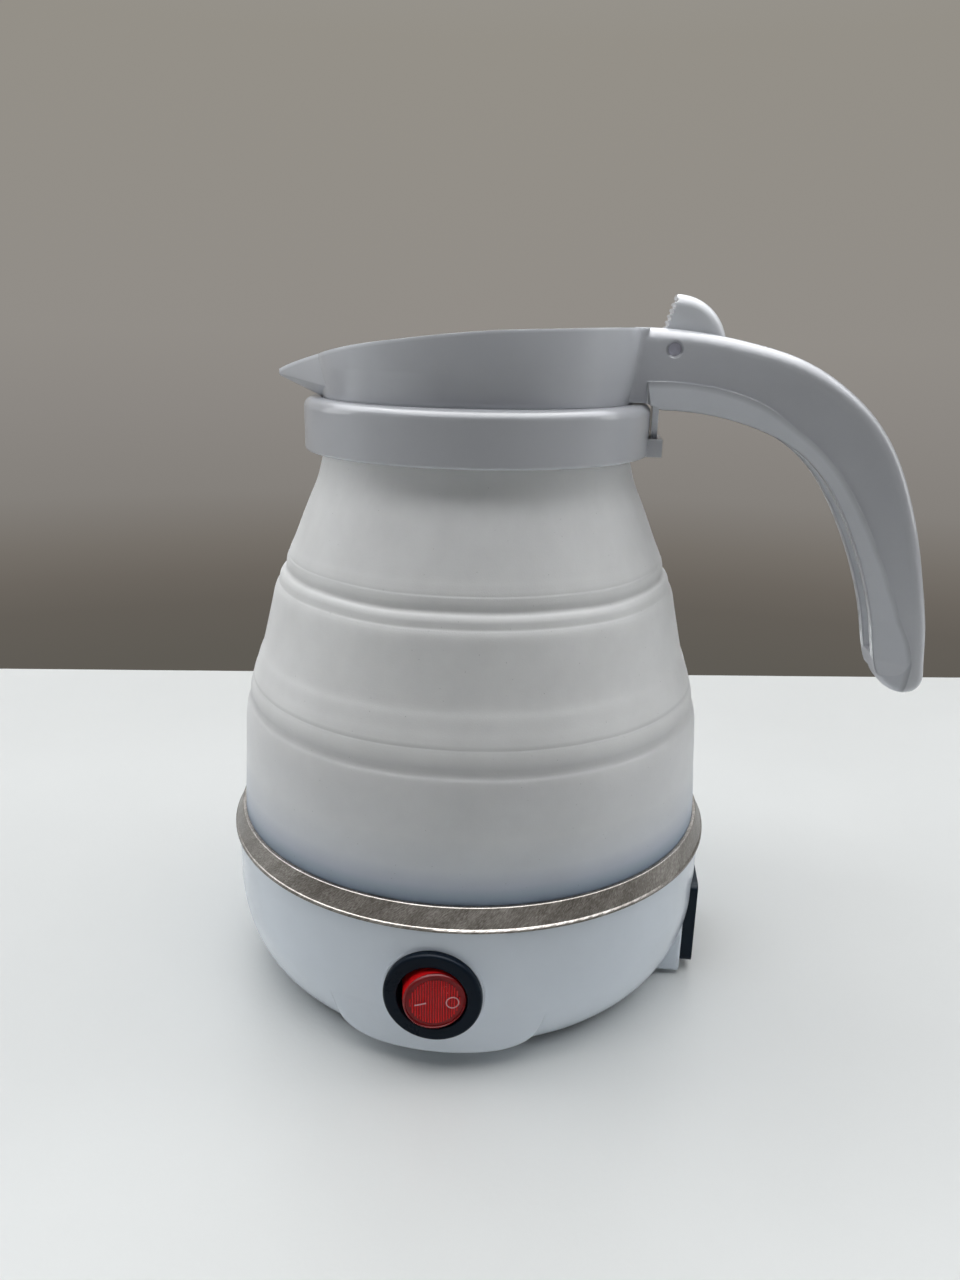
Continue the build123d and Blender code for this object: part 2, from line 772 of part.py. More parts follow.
def fuse_strap():
    inner = fuse_radius + strap_clearance
    outer = inner + strap_sheet
    half_width = strap_width / 2
    reach = outer + strap_foot
    saddle = rod_along_x(outer, half_width, fuse_offset, fuse_height)
    feet = block((-half_width, half_width), (fuse_offset - reach, fuse_offset + reach),
                 (spreader_bottom - strap_sheet, spreader_bottom))
    room = block((-strap_width, strap_width), (fuse_offset - inner, fuse_offset + inner),
                 (fuse_height, spreader_bottom + overrun))
    above = block((-strap_width, strap_width), (fuse_offset - reach, fuse_offset + reach),
                  (spreader_bottom, spreader_bottom + outer))
    return saddle + feet - room - rod_along_x(inner, strap_width, fuse_offset, fuse_height) - above


def earth_stud():
    return disc(earth_stud_radius, spreader_bottom - earth_stud_length, spreader_bottom, earth_stud_x,
                earth_stud_y)


# Internal wires: each route starts and ends on the terminals that it joins
def wire(*route):
    points = [Vector(*point) for point in route]
    radii = []
    for before, corner, after in zip(points, points[1:], points[2:]):
        half_turn = radians((corner - before).get_angle(after - corner)) / 2
        shorter_run = min((corner - before).length, (after - corner).length)
        radii.append(wire_arc_share * shorter_run / tan(half_turn))
    path = FilletPolyline(*points, radius=radii)
    section = Plane(origin=path @ 0, z_dir=path % 0) * Circle(wire_radius)
    tube = sweep(section, path)
    print("wire radii", [round(radius, 1) for radius in radii], "volume over section times length",
          round(tube.volume / (section.area * path.length), 4))
    return tube


def wires():
    """Every internal wire by name."""
    live_pin, neutral_pin, earth_pin = [(pin_back, y, z) for y, z in pin_places()]
    lamp_blade, switched_blade, live_blade = [(x, -(switch_back - blade_length), switch_height)
                                              for x in blade_places()]
    blade_tip = thermostat_radius + thermostat_blade_length
    front_blade = (0.0, -blade_tip, thermostat_blade_height)
    rear_blade = (0.0, blade_tip, thermostat_blade_height)
    right_end, left_end = [(x, y, element_foot - cold_pin_length) for x, y in element_ends()]
    fuse_end = fuse_length / 2 + fuse_lead_length
    fuse_right = (fuse_end, fuse_offset, fuse_height)
    fuse_left = (-fuse_end, fuse_offset, fuse_height)
    stud = (earth_stud_x, earth_stud_y, spreader_bottom - earth_stud_length)
    neutral_side = (pin_back + pin_tail / 3, pin_spacing / 2, pin_row_height - pin_width / 2)
    return {
        "live_wire": (live_pin, (27.0, -7.0, 12.6), (16.0, -17.0, 9.5), (6.5, -28.0, 15.0), (5.5, -35.0, 22.1),
                      live_blade),
        "switched_wire": (switched_blade, (0.0, -36.0, 22.1), (-3.0, -28.5, 17.0), (0.0, -21.0, 22.6),
                          front_blade),
        "heater_wire": (rear_blade, (0.0, 21.0, 22.6), (6.0, 29.0, 15.0), (14.0, 31.0, 8.5), (19.5, 27.9, 9.5),
                        right_end),
        "neutral_wire": (neutral_pin, (28.0, 7.0, 12.6), (24.0, 13.0, 18.0), (20.5, 18.0, 25.0),
                         (17.0, 20.0, 27.4), fuse_right),
        "fuse_wire": (fuse_left, (-17.0, 20.0, 27.4), (-22.0, 20.5, 21.0), (-24.0, 22.0, 14.0),
                      (-22.5, 25.0, 8.5), (-19.5, 27.9, 9.0), left_end),
        "lamp_wire": (lamp_blade, (-5.5, -36.0, 22.1), (-7.5, -29.0, 15.0), (-4.0, -18.0, 7.5),
                      (8.0, -3.0, 6.2), (24.0, 5.0, 6.2), (36.3, 7.0, 6.0), neutral_side),
        "earth_wire": (earth_pin, (28.0, 0.0, 16.6), (23.5, -4.0, 15.5), (22.0, -9.0, 17.0), stud),
    }


# Steel clamp ring around the foot of the silicone
def clamp_ring():
    lip_bottom = ring_top_height - ring_sheet
    cone = lathe((ring_foot_radius, ring_foot_height), (ring_top_radius, ring_top_height, ring_sheet / 2),
                 (ring_lip_radius, ring_top_height), (ring_lip_radius, lip_bottom),
                 (ring_top_radius - ring_sheet, lip_bottom), (ring_foot_radius - ring_sheet, ring_foot_height))
    roll = Plane.XZ * Pos(ring_foot_radius - ring_bead, ring_foot_height + ring_bead) * Circle(ring_bead)
    return cone + revolve(roll, Axis.Z)


# Silicone wall in its three tiers
def tier(foot_radius, top_radius, foot_height, top_height, wall, shares):
    """One tier of the wall: a smooth profile of even thickness, turned about the axis."""
    outer = [at(top_radius + across * (foot_radius - top_radius), foot_height + up * (top_height - foot_height))
             for across, up in shares]
    inner = [at(point.X - wall, point.Z) for point in outer]
    edges = [Spline(*outer), Line(outer[-1], inner[-1]), Spline(*inner), Line(inner[0], outer[0])]
    return revolve(make_face(edges), Axis.Z)


def silicone_lower_wall():
    wall = tier(silicone_foot_radius, lower_fold_radius, bead_top, lower_fold_height, lower_wall,
                lower_wall_shares)
    return wall + ring(bead_inner_radius, bead_radius, pan_flange_top, bead_top)


def silicone_fold_wall():
    return tier(lower_fold_radius, upper_fold_radius, lower_fold_height, upper_fold_height - fold_gap,
                fold_wall, fold_wall_shares)


def silicone_upper_wall():
    wall = tier(upper_foot_radius, neck_radius, upper_fold_height, neck_height, upper_wall, upper_wall_shares)
    neck = ring(neck_bore, neck_radius, neck_height, neck_clamp_top)
    return wall + neck + ring(neck_bore, neck_bead_radius, neck_clamp_top, neck_bead_top)


# Collar and the clamp ring inside it
def tongue_box(clearance, top):
    """The tongue that hangs from the handle's root into the collar's lug."""
    return block((tongue_start - clearance, tongue_start + tongue_thickness + clearance),
                 (-tongue_half_width - clearance, tongue_half_width + clearance),
                 (collar_bottom + tongue_floor - clearance, top))


def collar():
    body = lathe((collar_lip_radius, collar_bottom), (collar_radius, collar_bottom, collar_foot_round),
                 (collar_radius, collar_top, collar_top_round), (collar_mouth_radius, collar_top),
                 (collar_mouth_radius, shoulder_bottom), (collar_bore, shoulder_bottom), (collar_bore, lip_top),
                 (collar_lip_radius, lip_top))
    lug = block((lug_root, lug_end), (-lug_half_width, lug_half_width),
                (collar_bottom, collar_bottom + lug_height))
    return body + (lug - disc(lug_root, 0, collar_top)) - tongue_box(tongue_clearance, collar_top)


def neck_clamp_ring():
    return ring(neck_radius + neck_clamp_clearance, collar_bore - collar_fit, lip_top, neck_clamp_top)


# Top frame: ring, spout and handle
def bore_corners():
    """The ring's inner profile from its foot to its blank top, with the seat for the lid's seal."""
    shoulder = frame_shoulder_radius - frame_wall
    return ((spigot_bore, spigot_bottom), (spigot_bore, frame_flange_top),
            (frame_neck_radius - frame_wall, frame_flange_top + frame_wall),
            (shoulder - frame_wall, seat_top - seat_thickness - frame_wall / 2),
            (seat_inner_radius, seat_top - seat_thickness), (seat_inner_radius, seat_top), (shoulder, seat_top),
            (frame_rim_radius - frame_wall, frame_blank_top))


def frame_ring():
    flange_radius = collar_bore - collar_fit
    return lathe((spigot_radius, spigot_bottom), (spigot_radius, neck_bead_top), (flange_radius, neck_bead_top),
                 (flange_radius, frame_flange_top), (frame_neck_radius, frame_flange_top),
                 (frame_neck_radius, collar_top), (frame_shoulder_radius, seat_top),
                 (frame_rim_radius, frame_blank_top), *reversed(bore_corners()))


def mouth_room():
    """Everything inside the ring, which has to stay open."""
    return lathe((0, spigot_bottom), *bore_corners(), (0, frame_blank_top))


def above_rim():
    """The space above the rim line, from the spout's tip to the handle's root."""
    span = rim_back_reach + spout_reach
    rise = rim_back_height - spout_lip_height
    line = [at(across * span - spout_reach, spout_lip_height + up * rise) for across, up in rim_line_shares]
    ceiling = frame_blank_top + overrun
    corners = [line[-1], at(line[-1].X, ceiling), at(line[0].X - overrun, ceiling),
               at(line[0].X - overrun, line[0].Z), line[0]]
    edges = [Spline(*line)] + [Line(start, end) for start, end in zip(corners, corners[1:])]
    return slab(make_face(edges), rim_radius)


def beak(inset, root, tip):
    """The spout's body, or the channel in it where there is an inset, between two distances from the axis."""
    profiles = []
    length = spout_reach - spout_root_reach
    side_run = hypot(length, spout_root_half_width - spout_tip_half_width) / length
    for reach in (root, tip):
        share = (reach - spout_root_reach) / length
        full_width = spout_root_half_width + share * (spout_tip_half_width - spout_root_half_width)
        half_width = full_width - inset * side_run
        keel = (spout_root_keel + share * (spout_tip_keel - spout_root_keel)) * half_width / full_width
        root_foot = collar_top - spout_root_sink
        foot = root_foot + share * (spout_lip_height - spout_tip_drop - root_foot) + inset
        root_shoulder = collar_top + spout_root_shoulder
        shoulder = root_shoulder + share * (spout_lip_height - spout_tip_shoulder - root_shoulder) + inset
        corners = ((-half_width, frame_blank_top), (-half_width, shoulder), (-keel, foot), (keel, foot),
                   (half_width, shoulder), (half_width, frame_blank_top))
        profiles.append(make_face(Polyline(*[Vector(-reach, y, z) for y, z in corners], close=True)))
    return loft(profiles, ruled=True)


def handle_points(shares):
    return [at(handle_root + across * handle_span, handle_tip_height + up * handle_drop)
            for across, up in shares]


def handle_taper(inset):
    """The handle's outline seen from the front, run through along X."""
    right = []
    for across, up in handle_taper_shares:
        half_width = handle_tip_half_width + across * (handle_root_half_width - handle_tip_half_width)
        right.append(Vector(0, half_width - inset, handle_tip_height + up * handle_drop))
    left = [Vector(0, -point.Y, point.Z) for point in right]
    face = make_face([Spline(*right), Line(right[-1], left[-1]), Spline(*left), Line(left[0], right[0])])
    return extrude(face, handle_reach + overrun, dir=(1, 0, 0))


def inside_of(line, start):
    """The space on the inner side of a curve that runs down the handle, back to a start distance."""
    foot = at(start, line[-1].Z)
    return slab(make_face([Spline(*line), Line(line[-1], foot), Line(foot, line[0])]), handle_root_half_width)


def handle_body():
    """The handle before its channel is cut: the main body, and the proud band along its inner face."""
    outline = handle_points(handle_outline_shares)
    curve = Spline(*outline)
    corners = [outline[-1], at(handle_band_start, root_bottom), at(handle_root, root_bottom), outline[0]]
    side = make_face([curve] + [Line(start, end) for start, end in zip(corners, corners[1:])])
    full = slab(side, handle_root_half_width)
    body = full & handle_taper(handle_band_step)
    crest = [edge for edge in body.edges() if runs_along(edge, curve)]
    band = inside_of(handle_points(handle_band_shares), handle_band_start)
    return fillet(crest, handle_round) + (full & handle_taper(0.0) & band)


def runs_along(edge, curve):
    """Whether a curved edge follows the handle's outline on one of its sides."""
    middle = edge @ 0.5
    beside = edge.geom_type == GeomType.BSPLINE and abs(middle.Y) > handle_wall
    return beside and curve.distance_to(Vertex(middle.X, 0, middle.Z)) < same_place


def handle_channel():
    """The hollow that is open along the handle's inner face."""
    return inside_of(handle_points(handle_channel_shares), channel_start) & handle_taper(
        handle_band_step + handle_wall)


def hinge_bosses():
    """Bosses on the handle's side walls that carry the hinge pin, before the tab's slot parts them."""
    outer_face = handle_root_half_width - handle_wall
    return rod_along_y(hinge_boss_radius, (-outer_face, outer_face), hinge_reach, hinge_height)


def hinge_holes():
    """The pin's hole through both bosses and the sinks at the handle's outer faces."""
    outside = handle_root_half_width + overrun
    pin_hole = rod_along_y(hinge_pin_radius + hinge_pin_fit, (-outside, outside), hinge_reach, hinge_height)
    sinks = [rod_along_y(hinge_sink_radius, y_range, hinge_reach, hinge_height)
             for y_range in ((-outside, -hinge_pin_half_length), (hinge_pin_half_length, outside))]
    return [pin_hole, *sinks]


def tab_slot():
    """The slot through the ring and the handle's crown in which the lid's arm and tab swing."""
    return block((spigot_bore - overrun, hinge_reach + tab_radius + slot_clearance),
                 (-slot_half_width, slot_half_width), (lid_bottom - slot_clearance, frame_blank_top))


def root_plate():
    """The plate that closes the handle's root and carries the tongue."""
    plate = block((handle_root, root_plate_reach), (-root_plate_half_width, root_plate_half_width),
                  (root_bottom, root_plate_top))
    return plate + tongue_box(0.0, root_plate_top)


def root_web(side):
    """The hollow-faced web that blends one flank of the handle into the ring."""
    profiles = []
    levels = ((root_bottom, frame_neck_radius), (seat_top, frame_shoulder_radius),
              (frame_blank_top, frame_rim_radius))
    for (height, ring_radius), sink in zip(levels, web_flank_sinks):
        radius = ring_radius - web_ring_sink
        flank = handle_root_half_width - handle_band_step - sink
        centre_y = flank + web_round
        centre_x = sqrt((radius + web_round) ** 2 - centre_y ** 2)
        on_ring = Vector(centre_x, centre_y) * (radius / (radius + web_round))
        on_flank = Vector(centre_x, flank)
        towards_corner = Vector(-centre_x / (radius + web_round), -centre_y / (radius + web_round)) + Vector(0, -1)
        hollow = Vector(centre_x, centre_y) + towards_corner.normalized() * web_round
        inner = [Vector(centre_x, flank - web_depth), Vector(ring_radius - frame_wall, flank - web_depth),
                 on_ring * ((ring_radius - frame_wall / 2) / radius)]
        points = [Vector(point.X, side * point.Y, height) for point in (on_ring, hollow, on_flank, *inner)]
        outline = [ThreePointArc(*points[:3])] + [Line(start, end) for start, end in
                                                  zip(points[2:], points[3:] + points[:1])]
        profiles.append(make_face(outline))
    return loft(profiles, ruled=True)


def top_frame():
    additions = beak(0.0, spout_root_reach, spout_reach) + root_web(-1) + root_web(1)
    spout = frame_ring() + (additions - mouth_room()) - above_rim()
    spout = spout - beak(spout_wall, channel_root_reach, spout_reach - channel_tip_setback)
    handle = handle_body() - handle_channel() + root_plate() + hinge_bosses() - mouth_room()
    return (spout - tab_slot()) + (handle - tab_slot() - hinge_holes())


# Lid with its barrel and thumb tab
def lid_disc():
    top = lid_bottom + lid_thickness
    crown = at(0, top + lid_crown)
    dome_radius = (lid_radius ** 2 + lid_crown ** 2) / (2 * lid_crown)
    half_way = asin(lid_radius / dome_radius) / 2
    shoulder = crown + at(dome_radius * sin(half_way), dome_radius * (cos(half_way) - 1))
    edge_top = at(lid_radius, top)
    edges = [Line(at(0, lid_bottom), at(lid_radius, lid_bottom)), Line(at(lid_radius, lid_bottom), edge_top),
             ThreePointArc(edge_top, shoulder, crown), Line(crown, at(0, lid_bottom))]
    plate = revolve(make_face(edges), Axis.Z)
    plate = fillet(plate.edges().filter_by(GeomType.CIRCLE).group_by(Axis.Z)[1], lid_edge_round)
    return plate + ring(lid_rib_radius - lid_rib_width, lid_rib_radius, lid_bottom - lid_rib_depth,
                        lid_bottom + lid_thickness / 2)


def thumb_tab():
    """A sector about the hinge with a grooved front face."""
    hinge = at(hinge_reach, hinge_height)
    start, middle, end = [hinge + at(tab_radius * cos(radians(angle)), tab_radius * sin(radians(angle)))
                          for angle in (tab_start_angle, (tab_start_angle + tab_end_angle) / 2, tab_end_angle)]
    foot = hinge + at(tab_foot_x, tab_foot_z)
    side = make_face([Line(hinge, start), ThreePointArc(start, middle, end), Line(end, foot), Line(foot, hinge)])
    tab = slab(side, tab_half_width)
    tab = fillet(tab.edges().filter_by(GeomType.CIRCLE), tab_round)
    for step in range(tab_groove_count):
        place = foot + (end - foot) * ((step + 1) / (tab_groove_count + 1))
        tab = tab - rod_along_y(tab_groove_radius, (-tab_half_width - overrun, tab_half_width + overrun),
                                place.X, place.Z)
    return tab


def lid():
    sides = (-tab_half_width, tab_half_width)
    arm = block((arm_root_reach, hinge_reach), sides, (lid_bottom, lid_bottom + arm_thickness))
    barrel = rod_along_y(barrel_radius, sides, hinge_reach, hinge_height)
    bore = rod_along_y(hinge_pin_radius + hinge_running_clearance, (-slot_half_width, slot_half_width),
                       hinge_reach, hinge_height)
    return lid_disc() + arm + barrel + thumb_tab() - bore


def lid_seal():
    bottom = lid_bottom - seal_thickness
    inner_radius = seal_hang_radius - seal_hang_wall
    return ring(inner_radius, seal_radius, bottom, lid_bottom) + ring(inner_radius, seal_hang_radius,
                                                                      bottom - seal_hang, bottom)


def hinge_pin():
    return rod_along_y(hinge_pin_radius, (-hinge_pin_half_length, hinge_pin_half_length), hinge_reach,
                       hinge_height)


os.makedirs("parts", exist_ok=True)
for sub_part in (base_housing, base_cover, cover_screws, rubber_pad, switch_body, switch_lamp, switch_terminals,
                 switch_rocker, inlet_socket, inlet_pins, heater_pan, heat_spreader, heating_element, element_pins,
                 thermostat, thermostat_terminals, thermostat_clip, clip_screws, thermal_fuse, fuse_strap,
                 earth_stud, clamp_ring, silicone_lower_wall, silicone_fold_wall, silicone_upper_wall, collar,
                 neck_clamp_ring, top_frame, lid, lid_seal, hinge_pin):
    save(sub_part(), sub_part.__name__)
for node, route in wires().items():
    save(wire(*route), node)
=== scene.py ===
from math import cos, pi, radians, sin, tau

import bmesh
import bpy
from mathutils import Matrix, Vector


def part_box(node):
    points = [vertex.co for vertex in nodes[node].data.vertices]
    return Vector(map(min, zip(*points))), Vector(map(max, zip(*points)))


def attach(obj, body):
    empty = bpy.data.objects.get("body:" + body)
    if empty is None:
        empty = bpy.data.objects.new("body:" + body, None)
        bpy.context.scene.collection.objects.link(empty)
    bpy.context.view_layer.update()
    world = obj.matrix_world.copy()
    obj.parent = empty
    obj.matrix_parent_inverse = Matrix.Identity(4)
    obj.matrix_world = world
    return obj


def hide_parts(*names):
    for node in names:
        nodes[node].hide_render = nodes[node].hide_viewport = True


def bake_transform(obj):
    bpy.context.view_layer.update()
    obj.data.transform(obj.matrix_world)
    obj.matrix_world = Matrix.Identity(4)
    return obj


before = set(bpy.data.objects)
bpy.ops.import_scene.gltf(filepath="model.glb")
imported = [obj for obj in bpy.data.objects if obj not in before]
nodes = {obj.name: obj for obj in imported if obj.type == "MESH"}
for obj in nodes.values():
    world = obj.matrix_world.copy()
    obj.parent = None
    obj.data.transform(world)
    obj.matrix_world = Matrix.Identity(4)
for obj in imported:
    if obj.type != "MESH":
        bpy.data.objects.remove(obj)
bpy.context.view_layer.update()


# Camera. It stands a quarter of a metre in front of the switch, level with the lid, and looks down by
# 17 degrees. Its place and turn were fitted to the ellipses of the steel ring, the collar and the bezel.
camera_right = Vector((0.993, 0.1165, 0.0211)).normalized()
camera_ahead = Vector((-0.1048, 0.948, -0.3004)).normalized()
camera_up = camera_right.cross(camera_ahead).normalized()
camera_place = Vector((0.02926, -0.24722, 0.1655))
camera = bpy.data.objects.new("camera", bpy.data.cameras.new("camera"))
bpy.context.scene.collection.objects.link(camera)
camera.matrix_world = Matrix.Translation(camera_place) @ Matrix(
    (camera_right, camera_up, -camera_ahead)).transposed().to_4x4()
camera.data.lens = 27.03
camera.data.sensor_width = 36.0
camera.data.clip_start = 0.01
bpy.context.scene.camera = camera
bpy.context.scene.view_settings.view_transform = "Standard"


# Table. A narrow white board with rounded edges; the far one runs about 22 cm behind the kettle and turned a
# little from it, as the photograph shows. It is painted wood with a soft sheen.
def mesh_piece(name, points, faces):
    """A new mesh object at the origin, its faces turned outwards and shaded smooth."""
    mesh = bpy.data.meshes.new(name)
    mesh.from_pydata(points, [], faces)
    tidy = bmesh.new()
    tidy.from_mesh(mesh)
    bmesh.ops.recalc_face_normals(tidy, faces=tidy.faces)
    tidy.to_mesh(mesh)
    tidy.free()
    mesh.shade_smooth()
    piece = bpy.data.objects.new(name, mesh)
    bpy.context.scene.collection.objects.link(piece)
    return piece


def new_material(name):
    """A new material with its node tree and its main shader."""
    material = bpy.data.materials.new(name)
    material.use_nodes = True
    return material, material.node_tree, material.node_tree.nodes["Principled BSDF"]


def set_inputs(node, **sockets):
    """Sets a node's inputs by name, or by _number, each to a value or to another node's output."""
    for name, value in sockets.items():
        socket = node.inputs[int(name[1:])] if name[0] == "_" else node.inputs[name.replace("_", " ")]
        if isinstance(value, bpy.types.NodeSocket):
            node.id_data.links.new(value, socket)
        else:
            socket.default_value = value


def wire_up(tree, kind, settings=(), **sockets):
    """A new node with its plain settings and its inputs."""
    node = tree.nodes.new(kind)
    for name, value in dict(settings).items():
        setattr(node, name, value)
    set_inputs(node, **sockets)
    return node


def colour_steps(tree, factor, *steps):
    """A colour ramp over a factor, from (place, colour) steps."""
    ramp = wire_up(tree, "ShaderNodeValToRGB", Fac=factor)
    elements = ramp.color_ramp.elements
    while len(elements) < len(steps):
        elements.new(0.5)
    for element, (place, colour) in zip(elements, steps):
        element.position = place
        element.color = (*colour, 1.0)
    return ramp.outputs["Color"]


def on_object(tree):
    """The object's own coordinates, in metres."""
    return wire_up(tree, "ShaderNodeTexCoord").outputs["Object"]


def noise(tree, place, scale, detail=2.0, roughness=0.5):
    """Cloudy noise between 0 and 1."""
    return wire_up(tree, "ShaderNodeTexNoise", Vector=place, Scale=scale, Detail=detail,
                   Roughness=roughness).outputs["Fac"]


def bumpy(tree, height, strength, distance, **sockets):
    """The surface's direction where a height roughens it."""
    return wire_up(tree, "ShaderNodeBump", Strength=strength, Distance=distance, Height=height,
                   **sockets).outputs["Normal"]


table_paint, tree, shader = new_material("table_paint")
place = on_object(tree)
set_inputs(shader, Roughness=0.42, Specular_IOR_Level=0.3,
           Base_Color=colour_steps(tree, noise(tree, place, 9.0, 4.0), (0.3, (0.715, 0.726, 0.715)),
                                   (0.7, (0.750, 0.761, 0.750))),
           Normal=bumpy(tree, noise(tree, place, 900.0), 0.08, 0.0004))

edge_turn = radians(8.5)
edge_middle = Vector((0.0, 0.225, 0.0))
board_depth, board_half_length, board_thickness = 0.56, 2.5, 0.03
along = Vector((cos(edge_turn), sin(edge_turn), 0.0))
outward = Vector((-sin(edge_turn), cos(edge_turn), 0.0))
edge_radius, edge_steps = 0.004, 6
bends = [pi / 2 * step / edge_steps for step in range(edge_steps + 1)]
far_edge = [(edge_radius * (sin(bend) - 1), edge_radius * (cos(bend) - 1)) for bend in bends]
far_edge += [(0.0, -board_thickness)]
edge_line = [(-board_depth - reach, height) for reach, height in reversed(far_edge)] + far_edge
board_points = [edge_middle + along * side + outward * reach + Vector((0.0, 0.0, height))
                for side in (-board_half_length, board_half_length) for reach, height in edge_line]
count = len(edge_line)
board_faces = [(step, (step + 1) % count, (step + 1) % count + count, step + count) for step in range(count)]
board_faces += [tuple(range(count)), tuple(range(count, 2 * count))]
table = mesh_piece("table", board_points, board_faces)
table.data.materials.append(table_paint)
table.data.set_sharp_from_angle(angle=radians(30))


# Room. A plain grey wall far behind the table, darker where it meets the table's line as painted shade, under a white
# ceiling.
# A wide soft light hangs overhead with weaker ones at both sides, and the side near the camera gets the least.
world = bpy.data.worlds.new("room")
bpy.context.scene.world = world
world.use_nodes = True
tree = world.node_tree


def maths(tree, operation, *values):
    """The result of a maths node over values or other nodes' outputs."""
    return wire_up(tree, "ShaderNodeMath", {"operation": operation},
                   **{f"_{index}": value for index, value in enumerate(values)}).outputs[0]


def rescaled(tree, value, old_low, old_high, new_low=0.0, new_high=1.0):
    """A value moved from one range to another, and kept within it."""
    return wire_up(tree, "ShaderNodeMapRange", Value=value, From_Min=old_low, From_Max=old_high, To_Min=new_low,
                   To_Max=new_high).outputs["Result"]


def parts_of(tree, vector):
    """The X, Y and Z of a vector, by name."""
    return wire_up(tree, "ShaderNodeSeparateXYZ", Vector=vector).outputs


direction = parts_of(tree, wire_up(tree, "ShaderNodeTexCoord").outputs["Generated"])
# The wall's colour is painted shade: darkest at its foot by the table's line and lighter upwards, then the white
# ceiling.
wall_and_ceiling_with_painted_shade = colour_steps(tree, rescaled(tree, direction["Z"], -0.36, 1.0),
                           (0.037, (0.114, 0.105, 0.090)), (0.074, (0.128, 0.115, 0.099)),
                           (0.096, (0.150, 0.134, 0.116)), (0.118, (0.180, 0.163, 0.143)),
                           (0.154, (0.232, 0.217, 0.199)), (0.213, (0.262, 0.245, 0.227)),
                           (0.265, (0.285, 0.267, 0.245)), (0.449, (0.298, 0.279, 0.246)),
                           (0.58, (0.34, 0.33, 0.31)), (0.70, (0.86, 0.88, 0.92)), (1.0, (1.0, 1.0, 1.0)))
towards_ceiling = rescaled(tree, direction["Z"], 0.42, 0.85, 1.0, 8.0)
wall = wire_up(tree, "ShaderNodeBackground", Color=wall_and_ceiling_with_painted_shade, Strength=towards_ceiling)
from_behind = rescaled(tree, direction["Y"], -0.7, 0.5, 0.04, 0.13)
from_above = rescaled(tree, direction["Z"], -0.15, 0.15, 0.15, 1.0)
room = wire_up(tree, "ShaderNodeBackground", Color=(0.93, 0.96, 1.0, 1.0),
               Strength=maths(tree, "MULTIPLY", from_behind, from_above))
rays = wire_up(tree, "ShaderNodeLightPath")
seen = maths(tree, "MAXIMUM", rays.outputs["Is Camera Ray"], rays.outputs["Is Transmission Ray"])
seen = maths(tree, "MAXIMUM", seen, rays.outputs["Is Glossy Ray"])
sky = wire_up(tree, "ShaderNodeMixShader", _0=seen, _1=room.outputs[0], _2=wall.outputs[0])
set_inputs(tree.nodes["World Output"], Surface=sky.outputs[0])


def soft_light(name, place, aim, width, height, power, colour):
    """A rectangular lamp at a place, turned to face a point."""
    lamp = bpy.data.objects.new(name, bpy.data.lights.new(name, "AREA"))
    lamp.data.shape = "RECTANGLE"
    lamp.data.size, lamp.data.size_y = width, height
    lamp.data.energy = power
    lamp.data.color = colour
    lamp.location = place
    lamp.rotation_euler = (Vector(aim) - Vector(place)).to_track_quat("-Z", "Y").to_euler()
    bpy.context.scene.collection.objects.link(lamp)


soft_light("light_overhead", (0.0, 0.0, 1.05), (0.0, 0.0, 0.1), 1.3, 1.0, 9.6, (0.98, 0.99, 1.0))
soft_light("light_left", (-0.9, 0.05, 0.5), (0.0, 0.0, 0.1), 0.5, 0.8, 2.7, (0.96, 0.98, 1.0))
soft_light("light_right", (0.9, 0.2, 0.5), (0.0, 0.0, 0.1), 0.4, 0.8, 2.3, (0.96, 0.98, 1.0))


# Base housing. One glossy white moulding with a faint blue cast: a bowl with a shield-shaped panel for the
# switch, a flat boss for the power inlet and an upstand for the heater pan. It carries everything below the wall.
def moulded_plastic(name, colour, roughness, mottle=0.012, polish=0.05, gloss=0.5, corner=0.0006):
    """Injection-moulded plastic: a slightly cloudy colour, uneven polish, a fine orange-peel skin, soft corners."""
    material, tree, shader = new_material(name)
    place = on_object(tree)
    cloud = noise(tree, place, 38.0, 5.0, 0.6)
    darker = tuple(share * (1 - 4 * mottle) for share in colour)
    smears = noise(tree, place, 90.0, 6.0, 0.7)
    softened = wire_up(tree, "ShaderNodeBevel", {"samples": 6}, Radius=corner)
    set_inputs(shader, IOR=1.5, Specular_IOR_Level=gloss,
               Base_Color=colour_steps(tree, cloud, (0.32, darker), (0.62, colour)),
               Roughness=rescaled(tree, smears, 0.3, 0.7, roughness - polish, roughness + polish),
               Normal=bumpy(tree, noise(tree, place, 1400.0), 0.06, 0.0001, Normal=softened.outputs["Normal"]))
    return material


def dress(node, material):
    """Puts a material on a node of the frame in place of its own."""
    slots = nodes[node].material_slots
    for slot in slots:
        slot.material = material
    if not slots:
        nodes[node].data.materials.append(material)


housing_white = moulded_plastic("housing_white", (0.665, 0.72, 0.785), 0.17, corner=0.0012)
dress("base_housing", housing_white)


# Base cover, screws and pad. The cover is a plain moulded disc under the housing, held by three zinc-plated
# screws with slotted heads. The kettle stands on a round rubber pad glued in the cover, grooved against slipping.
cover_white = moulded_plastic("cover_white", (0.55, 0.57, 0.60), 0.42)
dress("base_cover", cover_white)


def turned_metal(name, colour, roughness):
    """Plated or turned metal with fine uneven streaks in its polish."""
    material, tree, shader = new_material(name)
    streaks = noise(tree, on_object(tree), 420.0, 6.0, 0.75)
    stained = tuple(share * 0.82 for share in colour)
    set_inputs(shader, Metallic=1.0, Base_Color=colour_steps(tree, streaks, (0.3, stained), (0.6, colour)),
               Roughness=rescaled(tree, streaks, 0.25, 0.75, roughness * 0.7, roughness * 1.4),
               Normal=bumpy(tree, streaks, 0.1, 0.0001))
    return material


zinc_plate = turned_metal("zinc_plate", (0.72, 0.73, 0.75), 0.25)
dress("cover_screws", zinc_plate)


unwrap_height = 0.16


